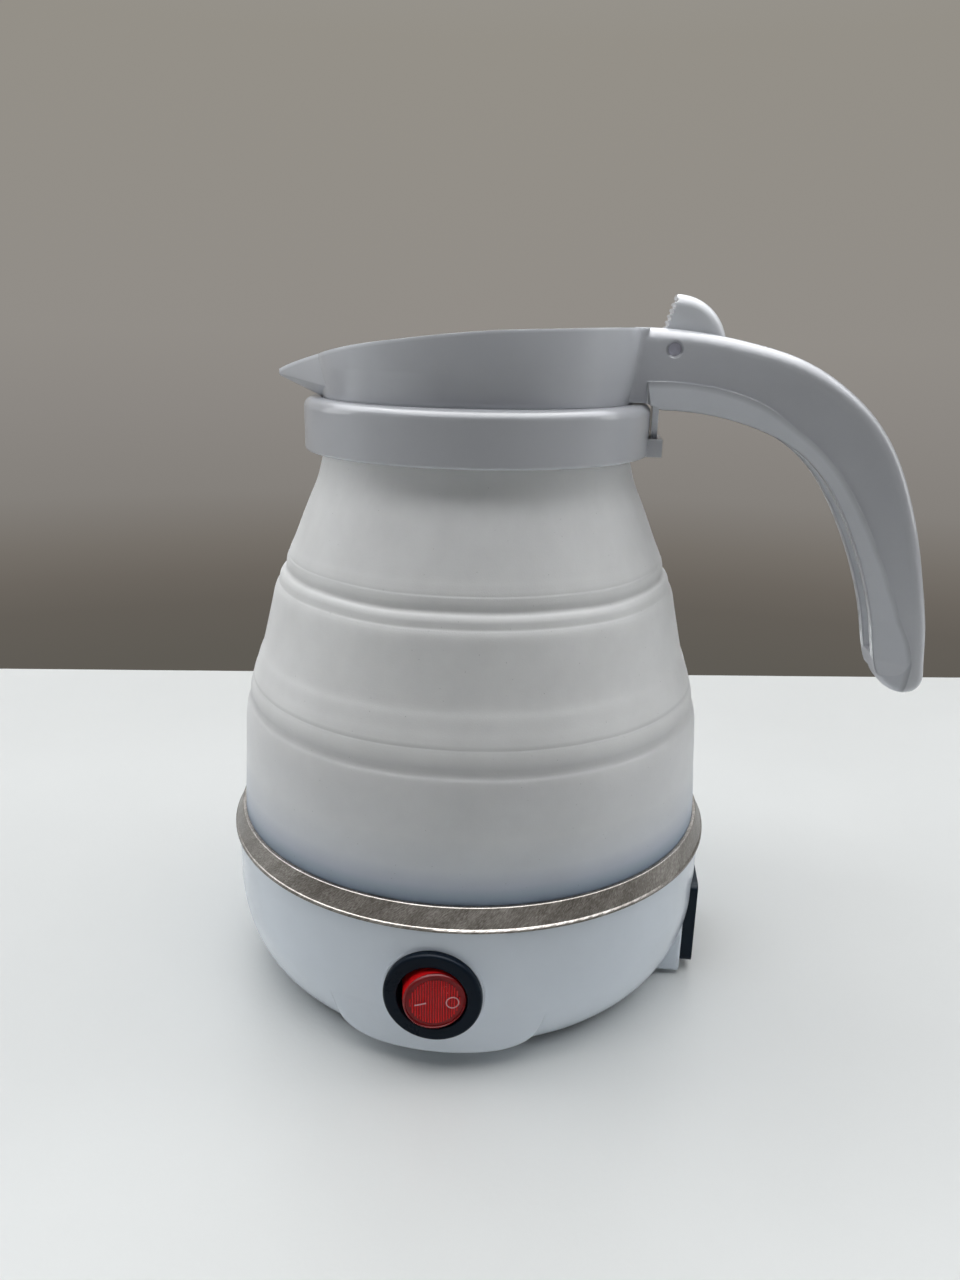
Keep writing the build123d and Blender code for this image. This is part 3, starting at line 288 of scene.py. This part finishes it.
def lathe(name, line, turns, wobble=None):
    """A closed outline of (radius, height) points turned about the Z axis, with a UV map round it and up it."""
    points, faces, steps = [], [], len(line)
    for turn in range(turns):
        angle = tau * turn / turns
        for radius, height in line:
            if wobble:
                radius, height = wobble(radius, height, angle)
            points.append((radius * cos(angle), radius * sin(angle), height))
    for turn in range(turns):
        here, there = turn * steps, (turn + 1) % turns * steps
        faces += [(here + step, there + step, there + (step + 1) % steps, here + (step + 1) % steps)
                  for step in range(steps)]
    piece = mesh_piece(name, points, faces)
    around_and_up = piece.data.uv_layers.new(name="around_and_up")
    for face in piece.data.polygons:
        turn = face.index // steps
        for corner in face.loop_indices:
            vertex = piece.data.loops[corner].vertex_index
            here = vertex // steps + (turns if turn == turns - 1 and vertex < steps else 0)
            around_and_up.data[corner].uv = (here / turns, line[vertex % steps][1] / unwrap_height)
    return piece


def rubber(name, colour):
    """Moulded rubber: dull, with dusty patches and a fine pitted skin."""
    material, tree, shader = new_material(name)
    place = on_object(tree)
    dusty = tuple(share * 0.8 + 0.05 for share in colour)
    set_inputs(shader, Roughness=0.72, Normal=bumpy(tree, noise(tree, place, 2600.0, 1.0), 0.25, 0.0001),
               Base_Color=colour_steps(tree, noise(tree, place, 160.0, 6.0, 0.7), (0.4, colour), (0.75, dusty)))
    return material


pad_black = rubber("pad_black", (0.028, 0.028, 0.030))
pad_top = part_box("rubber_pad")[1].z
pad_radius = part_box("rubber_pad")[1].x
ridge_pitch, ridge_count, groove_width, groove_depth = 0.0034, 11, 0.0012, 0.0004
pad_line = [(0.0001, pad_top), (0.0001, 0.0)]
for ridge in range(1, ridge_count + 1):
    reach = ridge * ridge_pitch
    pad_line += [(reach, 0.0), (reach + groove_width / 4, groove_depth), (reach + groove_width * 3 / 4, groove_depth),
                 (reach + groove_width, 0.0)]
pad_line += [(pad_radius - 0.0006, 0.0), (pad_radius - 0.0002, 0.0002), (pad_radius, 0.0006), (pad_radius, pad_top)]
ribbed_pad = lathe("ribbed_pad", pad_line, 128)
ribbed_pad.data.materials.append(pad_black)
ribbed_pad.data.set_sharp_from_angle(angle=radians(35))
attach(ribbed_pad, "base")
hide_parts("rubber_pad")


# Rocker switch. A black bezel and body snapped into the housing, brass blades behind, a small neon lamp, and a
# red see-through rocker whose round face is ribbed from top to bottom. It stands in the off position.
bezel_black = moulded_plastic("bezel_black", (0.003, 0.008, 0.016), 0.30, mottle=0.05, gloss=0.08)
dress("switch_body", bezel_black)
dress("switch_terminals", turned_metal("blade_brass", (0.78, 0.62, 0.32), 0.3))

lamp_glass, tree, shader = new_material("lamp_glass")
haze = noise(tree, on_object(tree), 700.0, 3.0)
set_inputs(shader, Transmission_Weight=0.6, Roughness=0.12,
           Base_Color=colour_steps(tree, haze, (0.35, (0.75, 0.36, 0.20)), (0.65, (0.90, 0.50, 0.30))))
dress("switch_lamp", lamp_glass)

rocker_red, tree, shader = new_material("rocker_red")
place = on_object(tree)
depth, scuffs = noise(tree, place, 260.0, 3.0), noise(tree, place, 900.0, 4.0)
set_inputs(shader, Specular_IOR_Level=0.22, Subsurface_Weight=0.35, Subsurface_Scale=1.0,
           Subsurface_Radius=(0.004, 0.0006, 0.0005), Roughness=rescaled(tree, scuffs, 0.0, 1.0, 0.12, 0.34),
           Base_Color=colour_steps(tree, depth, (0.3, (0.62, 0.007, 0.010)), (0.7, (0.80, 0.010, 0.012))))

# The same red made dark: painted shade, for the floor between the ribs and the rim round the face.
rocker_painted_shade, tree, shader = new_material("rocker_painted_shade")
murk = noise(tree, on_object(tree), 320.0, 3.0)
set_inputs(shader, Roughness=0.2, Specular_IOR_Level=0.2,
           Base_Color=colour_steps(tree, murk, (0.3, (0.17, 0.004, 0.006)), (0.7, (0.24, 0.006, 0.008))))

switch_height = 0.0221
pivot_y = -0.0627
rocker_tilt = radians(12)
rocker_turn = Matrix.Translation((0.0, pivot_y, switch_height)) @ Matrix.Rotation(radians(90), 4, "X") @ (
    Matrix.Rotation(rocker_tilt, 4, "Y"))
drum_line = [(0.00005, -0.0036), (0.0070, -0.0036), (0.0073, -0.0033), (0.0073, 0.0037), (0.00722, 0.0041),
             (0.0070, 0.00432), (0.00685, 0.0044), (0.00672, 0.0044), (0.00665, 0.0043), (0.00662, 0.00405),
             (0.00005, 0.00405)]
# Faces above this height take the painted shade.
ribbed_face_from = 0.0036
drum = lathe("rocker_drum", drum_line, 96)
for face in drum.data.polygons:
    face.material_index = int(all(drum.data.vertices[corner].co.z > ribbed_face_from for corner in face.vertices))
drum.data.transform(rocker_turn)
drum.data.materials.append(rocker_red)
drum.data.materials.append(rocker_painted_shade)
drum.data.set_sharp_from_angle(angle=radians(35))
pivot_line = [(0.00005, -0.0091), (0.0008, -0.0091), (0.0009, -0.0090), (0.0009, 0.0090), (0.0008, 0.0091),
              (0.00005, 0.0091)]
pivots = lathe("rocker_pivots", pivot_line, 24)
pivots.data.transform(Matrix.Translation((0.0, pivot_y, switch_height)))
pivots.data.materials.append(rocker_red)
pivots.data.set_sharp_from_angle(angle=radians(35))


def new_tree(name, sizes):
    """A Geometry Nodes tree with named inputs for its sizes and its material."""
    tree = bpy.data.node_groups.new(name, "GeometryNodeTree")
    tree.interface.new_socket("Geometry", in_out="INPUT", socket_type="NodeSocketGeometry")
    for label, value in sizes.items():
        kind = "NodeSocketInt" if isinstance(value, int) else "NodeSocketFloat"
        tree.interface.new_socket(label, in_out="INPUT", socket_type=kind).default_value = value
    tree.interface.new_socket("Material", in_out="INPUT", socket_type="NodeSocketMaterial")
    tree.interface.new_socket("Geometry", in_out="OUTPUT", socket_type="NodeSocketGeometry")
    return tree, tree.nodes.new("NodeGroupInput")


def end_tree(tree, geometry, inputs):
    """Makes a tree's copies real and gives them their material."""
    real = wire_up(tree, "GeometryNodeRealizeInstances", Geometry=geometry)
    painted = wire_up(tree, "GeometryNodeSetMaterial", Geometry=real.outputs[0], Material=inputs.outputs["Material"])
    wire_up(tree, "NodeGroupOutput", _0=painted.outputs[0])


def grown(name, tree, material, sizes):
    """The plain mesh that a tree makes, as a new piece at the origin."""
    piece = mesh_piece(name, [(0.0, 0.0, 0.0)], [])
    growth = piece.modifiers.new("growth", "NODES")
    growth.node_group = tree
    sockets = {socket.name: socket.identifier for socket in tree.interface.items_tree
               if socket.item_type == "SOCKET" and socket.in_out == "INPUT"}
    growth[sockets["Material"]] = material
    for label, value in sizes.items():
        growth[sockets[label]] = value
    evaluated = piece.evaluated_get(bpy.context.evaluated_depsgraph_get())
    mesh = bpy.data.meshes.new_from_object(evaluated)
    piece.modifiers.clear()
    piece.data = mesh
    return piece


def vector_of(tree, **parts):
    """A vector from its X, Y and Z."""
    return wire_up(tree, "ShaderNodeCombineXYZ", **parts).outputs[0]


rib_sizes = {"disc_radius": 0.0057, "rib_radius": 0.0002, "rib_count": 20}
outermost_rib, rib_height, mark_height = 0.985, 0.00408, 0.00428
tree, inputs = new_tree("ribs_across_a_disc", rib_sizes)
radius = inputs.outputs["disc_radius"]
rail = wire_up(tree, "GeometryNodeMeshLine", {"mode": "END_POINTS"}, Count=inputs.outputs["rib_count"],
               Start_Location=vector_of(tree, X=maths(tree, "MULTIPLY", radius, -outermost_rib)),
               Offset=vector_of(tree, X=maths(tree, "MULTIPLY", radius, outermost_rib)))
across = parts_of(tree, wire_up(tree, "GeometryNodeInputPosition").outputs[0])["X"]
half_chord = maths(tree, "SQRT", maths(tree, "SUBTRACT", maths(tree, "MULTIPLY", radius, radius),
                                       maths(tree, "MULTIPLY", across, across)))
rib_line = wire_up(tree, "GeometryNodeCurvePrimitiveLine", Start=(0.0, -1.0, 0.0), End=(0.0, 1.0, 0.0))
rib_section = wire_up(tree, "GeometryNodeCurvePrimitiveCircle", Resolution=10, Radius=inputs.outputs["rib_radius"])
rib = wire_up(tree, "GeometryNodeCurveToMesh", Curve=rib_line.outputs[0], Profile_Curve=rib_section.outputs[0],
              Fill_Caps=True)
set_out = wire_up(tree, "GeometryNodeInstanceOnPoints", Points=rail.outputs[0], Instance=rib.outputs[0],
                  Scale=vector_of(tree, X=1.0, Y=half_chord, Z=1.0))
end_tree(tree, set_out.outputs[0], inputs)
ribs = grown("rocker_ribs", tree, rocker_red, rib_sizes)
ribs.data.transform(rocker_turn @ Matrix.Translation((0.0, 0.0, rib_height)))
ribs.data.shade_smooth()

mark_paint, tree, shader = new_material("mark_paint")
worn = noise(tree, on_object(tree), 2400.0, 3.0)
set_inputs(shader, Roughness=0.45,
           Base_Color=colour_steps(tree, worn, (0.35, (0.58, 0.22, 0.24)), (0.55, (0.72, 0.36, 0.38))))


def ring_mark(name, radius, stroke, proud):
    """A flat ring of paint a little proud of the ribs."""
    return lathe(name, [(radius - stroke / 2, 0.0), (radius + stroke / 2, 0.0), (radius + stroke / 2, proud),
                        (radius - stroke / 2, proud)], 48)


off_mark = ring_mark("off_mark", 0.00140, 0.00024, 0.00009)
off_mark.data.transform(rocker_turn @ Matrix.Translation((0.0040, -0.0003, mark_height)))
bar_half = (0.00130, 0.00014, 0.000045)
bar_points = [(x, y, z) for x in (-bar_half[0], bar_half[0]) for y in (-bar_half[1], bar_half[1])
              for z in (-bar_half[2], bar_half[2])]
on_mark = mesh_piece("on_mark", bar_points, [(0, 1, 3, 2), (4, 6, 7, 5), (0, 4, 5, 1), (2, 3, 7, 6), (0, 2, 6, 4),
                                             (1, 5, 7, 3)])
on_mark.data.transform(rocker_turn @ Matrix.Translation((-0.0033, -0.0004, mark_height + bar_half[2]))
                       @ Matrix.Rotation(radians(10), 4, "Z"))
for mark in (off_mark, on_mark):
    mark.data.materials.append(mark_paint)
    mark.data.shade_flat()
for piece in (drum, pivots, ribs, off_mark, on_mark):
    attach(piece, "rocker")
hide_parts("switch_rocker")


# Power inlet. A black thermoplastic socket with a flange that sits flat on the boss, and three nickel-plated
# pins. The cord isn't in it.
socket_black = moulded_plastic("socket_black", (0.006, 0.013, 0.022), 0.34, mottle=0.05, gloss=0.12)
dress("inlet_socket", socket_black)
nickel_plate = turned_metal("nickel_plate", (0.76, 0.74, 0.70), 0.2)
dress("inlet_pins", nickel_plate)


# Heater. A drawn stainless pan closes the water room; an aluminium plate cast under it spreads the heat of
# the bent tubular element, whose cold pins stick out of both ends.
pan_steel = turned_metal("pan_steel", (0.60, 0.60, 0.60), 0.28)
dress("heater_pan", pan_steel)
cast_aluminium = turned_metal("cast_aluminium", (0.72, 0.72, 0.73), 0.5)
dress("heat_spreader", cast_aluminium)
dress("heating_element", turned_metal("element_tube", (0.62, 0.62, 0.63), 0.42))
dress("element_pins", nickel_plate)


# Thermostat, fuse and earth. A bakelite snap-disc thermostat is clipped to the plate with two screws; the
# thermal fuse lies under a steel strap, and the earth wire goes to a welded stud.
dress("thermostat", moulded_plastic("bakelite", (0.045, 0.030, 0.022), 0.45, mottle=0.05))
dress("thermostat_terminals", bpy.data.materials["blade_brass"])
dress("thermostat_clip", pan_steel)
dress("clip_screws", zinc_plate)
dress("thermal_fuse", turned_metal("fuse_case", (0.74, 0.72, 0.66), 0.3))
dress("fuse_strap", pan_steel)
dress("earth_stud", zinc_plate)


# Internal wires. Stranded copper in silicone sleeving, pushed on the blades and pins by hand, so each runs in
# a loose curve of its own inside the base.
brown, white, blue, green = (0.20, 0.09, 0.04), (0.66, 0.66, 0.63), (0.04, 0.12, 0.38), (0.12, 0.34, 0.06)
wire_runs = {
    "live_wire": (brown, "brown_sleeve", [(33.6, -7, 12.6), (27, -7, 12.6), (16, -17, 9.5), (6.5, -28, 15),
                                          (5.5, -35, 22.1), (5.5, -42.1, 22.1)]),
    "switched_wire": (brown, "brown_sleeve", [(0, -42.1, 22.1), (0, -36, 22.1), (-3, -28.5, 17), (0, -21, 22.6),
                                              (0, -15, 22.6)]),
    "heater_wire": (white, "white_sleeve", [(0, 15, 22.6), (0, 21, 22.6), (6, 29, 15), (14, 31, 8.5),
                                            (19.5, 27.9, 9.5), (19.5, 27.9, 16.1)]),
    "neutral_wire": (blue, "blue_sleeve", [(33.6, 7, 12.6), (28, 7, 12.6), (24, 13, 18), (20.5, 18, 25),
                                           (17, 20, 27.4), (11, 20, 27.5)]),
    "fuse_wire": (white, "white_sleeve", [(-11, 20, 27.5), (-17, 20, 27.4), (-22, 20.5, 21), (-24, 22, 14),
                                          (-22.5, 25, 8.5), (-19.5, 27.9, 9), (-19.5, 27.9, 16.1)]),
    "lamp_wire": (blue, "blue_sleeve", [(-5.5, -42.1, 22.1), (-5.5, -36, 22.1), (-7.5, -29, 15), (-4, -18, 7.5),
                                        (8, -3, 6.2), (24, 5, 6.2), (36.3, 7, 6), (36.27, 7, 10.6)]),
    "earth_wire": (green, "green_sleeve", [(33.6, 0, 16.6), (28, 0, 16.6), (23.5, -4, 15.5), (22, -9, 17),
                                           (22, -9, 23.6)])}
mm = 0.001
wire_radius, wire_turns, wire_steps = 1.1, 16, 8


def smooth_line(points, steps):
    """A smooth curve through points, in even steps between each two."""
    points = [Vector(point) for point in points]
    line = []
    for index in range(len(points) - 1):
        before, start = points[max(index - 1, 0)], points[index]
        end, after = points[index + 1], points[min(index + 2, len(points) - 1)]
        for step in range(steps):
            t = step / steps
            line.append(0.5 * (2 * start + (end - before) * t + (2 * before - 5 * start + 4 * end - after) * t ** 2
                               + (3 * start - before - 3 * end + after) * t ** 3))
    return line + [points[-1]]


def sleeve(name, run):
    """A round closed tube of sleeving along a smooth curve through points in millimetres."""
    line = smooth_line(run, wire_steps)
    turns, points, faces = wire_turns, [], []
    side = (line[1] - line[0]).orthogonal().normalized()
    for index, place in enumerate(line):
        ahead = (line[min(index + 1, len(line) - 1)] - line[max(index - 1, 0)]).normalized()
        side = (side - ahead * side.dot(ahead)).normalized()
        across = ahead.cross(side)
        points += [(place + wire_radius * (side * cos(tau * turn / turns) + across * sin(tau * turn / turns))) * mm
                   for turn in range(turns)]
    for index in range(len(line) - 1):
        here = index * turns
        faces += [(here + turn, here + (turn + 1) % turns, here + turns + (turn + 1) % turns, here + turns + turn)
                  for turn in range(turns)]
    faces += [tuple(range(turns)), tuple(range(len(points) - turns, len(points)))]
    piece = mesh_piece(name, points, faces)
    piece.data.set_sharp_from_angle(angle=radians(60))
    return piece


sleevings = {}
for wire, (colour, slot, run) in wire_runs.items():
    if slot not in sleevings:
        sleevings[slot] = rubber(f"{slot}ing", colour)
    tube = sleeve(f"{wire}_sleeve", run)
    tube.data.materials.append(sleevings[slot])
    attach(tube, "base")
    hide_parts(wire)


# Steel ring. A band of brushed stainless sheet, rolled over at its foot, that clamps the silicone's bead to
# the pan's flange. The brushing runs slantwise round the band.
brushed_steel_painted_shade, tree, shader = new_material("brushed_steel_painted_shade")
place = on_object(tree)
slant = maths(tree, "MULTIPLY", parts_of(tree, place)["Z"], -16.0)
turned = wire_up(tree, "ShaderNodeVectorRotate", {"rotation_type": "Z_AXIS"}, Vector=place, Angle=slant)
stretched = wire_up(tree, "ShaderNodeVectorMath", {"operation": "MULTIPLY"}, _0=turned.outputs[0],
                    _1=(1.0, 1.0, 0.04)).outputs[0]
brushing, patches = noise(tree, stretched, 3600.0, 5.0, 0.7), noise(tree, stretched, 300.0, 4.0, 0.6)
both = rescaled(tree, maths(tree, "MULTIPLY_ADD", patches, 0.35, brushing), 0.50, 0.85)
# Its colour is far darker than the stainless pan's: painted shade, for the dark room the band reflects at its front.
set_inputs(shader, Metallic=1.0, Roughness=rescaled(tree, brushing, 0.3, 0.7, 0.26, 0.46),
           Base_Color=colour_steps(tree, both, (0.0, (0.115, 0.103, 0.092)), (0.5, (0.190, 0.177, 0.162)),
                                   (1.0, (0.34, 0.325, 0.305))),
           Normal=bumpy(tree, brushing, 0.35, 0.0001))
dress("clamp_ring", brushed_steel_painted_shade)


# Silicone wall. One frosted, milky moulding from the bead under the steel ring to the bead inside the collar,
# thinned to a groove at two rings where it folds. When the top is pushed down its middle tier rolls inside out.
outer_wall = [(61.9, 43.7), (61.85, 47.0), (61.55, 52.0), (61.2, 57.0), (60.95, 62.0), (60.7, 67.0), (60.5, 70.0),
              (60.25, 71.8), (60.02, 72.9), (59.78, 73.6), (59.42, 74.2), (59.16, 74.9), (59.08, 75.6), (59.12, 76.4),
              (59.05, 77.2), (58.75, 78.6), (58.45, 79.7), (58.22, 80.2), (58.18, 80.6), (57.75, 82.2), (57.1, 84.0),
              (56.3, 86.5), (55.3, 89.0), (54.1, 94.0), (52.95, 99.0), (52.2, 102.4), (51.75, 103.9), (51.3, 104.8),
              (50.95, 105.3), (50.75, 106.0), (50.5, 107.0), (50.0, 107.8), (49.3, 108.3), (48.95, 108.8),
              (48.9, 109.4), (48.85, 110.4), (48.6, 111.6), (48.34, 112.1), (48.2, 112.5), (47.6, 114.0),
              (46.7, 116.0), (44.7, 121.0), (42.6, 126.0), (40.4, 131.0), (39.0, 136.0), (38.1, 140.0), (38.0, 142.0),
              (38.0, 143.2)]
inner_wall = [(36.2, 145.7), (36.2, 142.0), (36.3, 139.6), (37.2, 136.0), (38.6, 131.0), (40.8, 126.0),
              (42.9, 121.0), (45.0, 116.0), (46.9, 112.0), (47.5, 110.2), (47.9, 109.0), (48.3, 107.9),
              (48.95, 106.4), (49.7, 104.6), (50.5, 102.4), (51.25, 99.0), (52.4, 94.0), (53.6, 89.0), (55.3, 84.0),
              (56.6, 80.0), (57.3, 77.2), (57.6, 75.6), (57.8, 74.0), (58.2, 72.0), (58.6, 67.0), (59.0, 60.0),
              (59.6, 52.0), (59.75, 47.0), (59.6, 45.0), (58.6, 44.0), (57.9, 43.5)]
bead_line = [(57.8, 43.2), (57.8, 41.0), (57.95, 40.85), (61.85, 40.85), (62.0, 41.0), (62.0, 43.3), (61.95, 43.6)]
neck_bead = [(38.05, 143.35), (40.5, 143.4), (40.65, 143.55), (40.65, 145.65), (40.5, 145.82), (36.35, 145.82)]
wall_line = smooth_line(outer_wall, 4) + neck_bead + smooth_line(inner_wall, 3) + bead_line
wall_line = [(radius * mm, height * mm) for radius, height in wall_line]
fold_low, fold_high = 0.0748, 0.1088


def soft_wobble(radius, height, angle):
    """The slight unevenness of a wall that has been folded before, strongest at its two fold rings."""
    near_fold = max(0.0, 1 - min(abs(height - fold_low), abs(height - fold_high)) / 0.009)
    free = max(0.0, min(1.0, (height - 0.046) / 0.012, (0.138 - height) / 0.010))
    lift = (0.30 * sin(2 * angle + 0.8) + 0.16 * sin(5 * angle + 2.1) + 0.08 * sin(11 * angle)) * near_fold
    swell = (0.14 * sin(3 * angle + height / 0.017) + 0.07 * sin(7 * angle - height / 0.009)) * free
    return radius + swell * mm, height + lift * mm


def scaled(tree, vector, share):
    """A vector or a colour times a share."""
    return wire_up(tree, "ShaderNodeVectorMath", {"operation": "SCALE"}, _0=vector, _3=share).outputs[0]


silicone_wall = lathe("silicone_wall", wall_line, 224, wobble=soft_wobble)
frosted_silicone, tree, shader = new_material("frosted_silicone")
around_and_up = parts_of(tree, wire_up(tree, "ShaderNodeUVMap", {"uv_map": "around_and_up"}).outputs["UV"])
whole_turn = maths(tree, "MULTIPLY", around_and_up["X"], tau)
height_in_radii = 2.9
on_wall = vector_of(tree, X=maths(tree, "COSINE", whole_turn), Y=maths(tree, "SINE", whole_turn),
                    Z=maths(tree, "MULTIPLY", around_and_up["Y"], height_in_radii))
milky = (0.905, 0.905, 0.905)
# These shades by height are painted light and shade over the milky white: darker and bluer towards the bead, where the
# steel pan behind shows through as shade; a little darker over the lower tier; darker lines at the two fold grooves;
# lighter towards the neck, against the collar's shadow.
painted_shades_by_height = ((40.0, (0.15, 0.20, 0.28)), (44.2, (0.19, 0.25, 0.34)), (45.8, (0.28, 0.34, 0.42)),
          (48.6, (0.47, 0.51, 0.58)), (52.5, (0.64, 0.665, 0.705)), (60.0, (0.74, 0.75, 0.765)),
          (73.0, (0.76, 0.76, 0.765)), (74.9, (0.68, 0.68, 0.685)), (76.6, (0.70, 0.70, 0.705)),
          (78.2, (0.81, 0.81, 0.81)), (79.8, milky), (80.4, (0.74, 0.74, 0.74)), (81.2, milky), (104.6, milky),
          (105.3, (0.86, 0.86, 0.86)), (106.4, milky), (108.1, (0.87, 0.87, 0.87)), (108.9, (0.80, 0.80, 0.80)),
          (109.8, (0.84, 0.84, 0.84)), (111.6, milky), (112.1, (0.80, 0.80, 0.80)), (112.7, milky),
          (124.0, milky), (134.0, (0.97, 0.97, 0.965)))
wall_painted_light_and_shade = colour_steps(tree, around_and_up["Y"],
                          *((height * mm / unwrap_height, shade) for height, shade in painted_shades_by_height))
clouds = noise(tree, on_wall, 3.2, 5.0, 0.6)
specks = wire_up(tree, "ShaderNodeTexVoronoi", Vector=on_wall, Scale=21.0).outputs["Distance"]
tone = maths(tree, "MULTIPLY", rescaled(tree, clouds, 0.3, 0.7, 0.93, 1.02),
             rescaled(tree, specks, 0.030, 0.055, 0.72, 1.0))
set_inputs(shader, IOR=1.41, Subsurface_Weight=0.5, Subsurface_Radius=(0.006, 0.006, 0.0065), Subsurface_Scale=1.0,
           Base_Color=scaled(tree, wall_painted_light_and_shade, tone), Roughness=rescaled(tree, clouds, 0.3, 0.7, 0.44, 0.58),
           Normal=bumpy(tree, noise(tree, on_wall, 190.0), 0.12, 0.0002))
silicone_wall.data.materials.append(frosted_silicone)
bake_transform(silicone_wall)
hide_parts("silicone_lower_wall", "silicone_fold_wall", "silicone_upper_wall")


# Collar. A white moulded band that grips the silicone's neck over a plain clamp ring. The lug at its back takes
# the tongue that hangs from the handle's root.
# Its colour is painted shade: darker than the white plastic is, for fronts that stand in shade.
frame_white_painted_shade = moulded_plastic("frame_white_painted_shade", (0.56, 0.57, 0.60), 0.17)
dress("collar", frame_white_painted_shade)
dress("neck_clamp_ring", cover_white)


# Top frame. Spout, ring and handle in one white moulding; the handle is a channel, open on its inner side, with
# a proud band along each edge whose face leans inwards a little. Its crown is slotted for the lid's tab and bored
# for the hinge pin. Its colour is painted shade, darker than the white plastic is; the band, the top and the line of
# the rim get painted highlights, lighter where light from above would catch them.
handle_white_painted_light_and_shade = moulded_plastic("handle_white_painted_light_and_shade", (0.56, 0.57, 0.60), 0.17)
tree = handle_white_painted_light_and_shade.node_tree
shader = tree.nodes["Principled BSDF"]
bend_centre = (0.052, 0.0, 0.098)
from_bend = parts_of(tree, wire_up(tree, "ShaderNodeVectorMath", {"operation": "SUBTRACT"}, _0=on_object(tree),
                                   _1=bend_centre).outputs[0])
reach = wire_up(tree, "ShaderNodeVectorMath", {"operation": "LENGTH"},
                _0=vector_of(tree, X=from_bend["X"], Y=from_bend["Z"])).outputs["Value"]
bearing = maths(tree, "ARCTAN2", from_bend["Z"], from_bend["X"])
crease_start, crease_end, full_reach = -20.0, 105.0, 0.1
crease = ((-20.0, 63.0), (-9.0, 61.5), (-3.6, 59.2), (2.1, 56.2), (11.0, 53.6), (22.4, 52.0), (32.1, 51.8),
          (41.9, 52.5), (52.3, 53.7), (62.2, 54.6), (72.8, 56.4), (82.4, 57.4), (92.0, 58.4), (97.0, 58.8),
          (100.6, 59.4), (100.8, 0.0))
crease_share = colour_steps(tree, rescaled(tree, bearing, radians(crease_start), radians(crease_end)),
                            *(((degrees - crease_start) / (crease_end - crease_start), (radius * mm / full_reach,) * 3)
                              for degrees, radius in crease))
inside_crease = maths(tree, "SUBTRACT", reach, maths(tree, "MULTIPLY", crease_share, full_reach))
band_slope = maths(tree, "MULTIPLY", maths(tree, "MINIMUM", inside_crease, 0.0), 0.95)
rim_front, rim_back, rim_low, rim_climb = -0.1028, -0.009, 0.0588, 0.0117
rim_line = ((0.0, 0.0), (0.014, 0.043), (0.043, 0.124), (0.083, 0.214), (0.147, 0.342), (0.195, 0.427),
            (0.274, 0.547), (0.341, 0.624), (0.432, 0.714), (0.542, 0.812), (0.646, 0.880), (0.803, 0.936),
            (0.913, 0.979), (1.0, 1.0))
rim_rise = colour_steps(tree, rescaled(tree, from_bend["X"], rim_front, rim_back),
                        *((along, (up,) * 3) for along, up in rim_line))
over_rim = maths(tree, "MULTIPLY_ADD", rim_rise, -rim_climb, maths(tree, "SUBTRACT", from_bend["Z"], rim_low))
# Painted highlights: the colour is made up to 1.5 times lighter on the band, up to 1.22 times on the top, and up to
# 1.6 times along the rim's line.
band_painted_highlight = rescaled(tree, inside_crease, 0.0, -0.0016, 1.0, 1.5)
top_painted_highlight = rescaled(tree, from_bend["Z"], 0.058, 0.070, 1.0, 1.22)
rim_painted_highlight = rescaled(tree, over_rim, -0.0011, -0.0002, 1.0, 1.6)
painted_highlights = maths(tree, "MAXIMUM", maths(tree, "MAXIMUM", band_painted_highlight, top_painted_highlight), rim_painted_highlight)
plain_colour, skin = (shader.inputs[label].links[0].from_socket for label in ("Base Color", "Normal"))
set_inputs(shader, Base_Color=scaled(tree, plain_colour, painted_highlights),
           Normal=bumpy(tree, band_slope, 1.0, 1.0, Normal=skin))
dress("top_frame", handle_white_painted_light_and_shade)
dress("hinge_pin", turned_metal("pin_steel", (0.36, 0.37, 0.45), 0.4))


# Lid. A shallow dome in the same white plastic, with a barrel for the pin and a thumb tab grooved at its front.
# A soft ring of silicone is pressed on its underside and closes the mouth.
# Its colour is painted light: lighter than the frame's white, though the plastic is the same, for the tab's bright
# top.
lid_white_painted_light = moulded_plastic("lid_white_painted_light", (0.85, 0.87, 0.90), 0.16)
dress("lid", lid_white_painted_light)
seal_low, seal_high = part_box("lid_seal")
seal_step = seal_high.z - 0.0007
seal_line = [(0.0333, seal_low.z + 0.0002), (0.0335, seal_low.z), (0.0341, seal_low.z), (0.0343, seal_low.z + 0.0002),
             (0.0343, seal_step - 0.0003), (0.0346, seal_step), (seal_high.x - 0.0004, seal_step),
             (seal_high.x, seal_step + 0.0002), (seal_high.x, seal_high.z), (0.0333, seal_high.z)]
seal_ring = lathe("seal_ring", seal_line, 128)
seal_ring.data.materials.append(rubber("seal_white", (0.62, 0.62, 0.60)))
seal_ring.data.set_sharp_from_angle(angle=radians(40))
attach(seal_ring, "lid")
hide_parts("lid_seal")
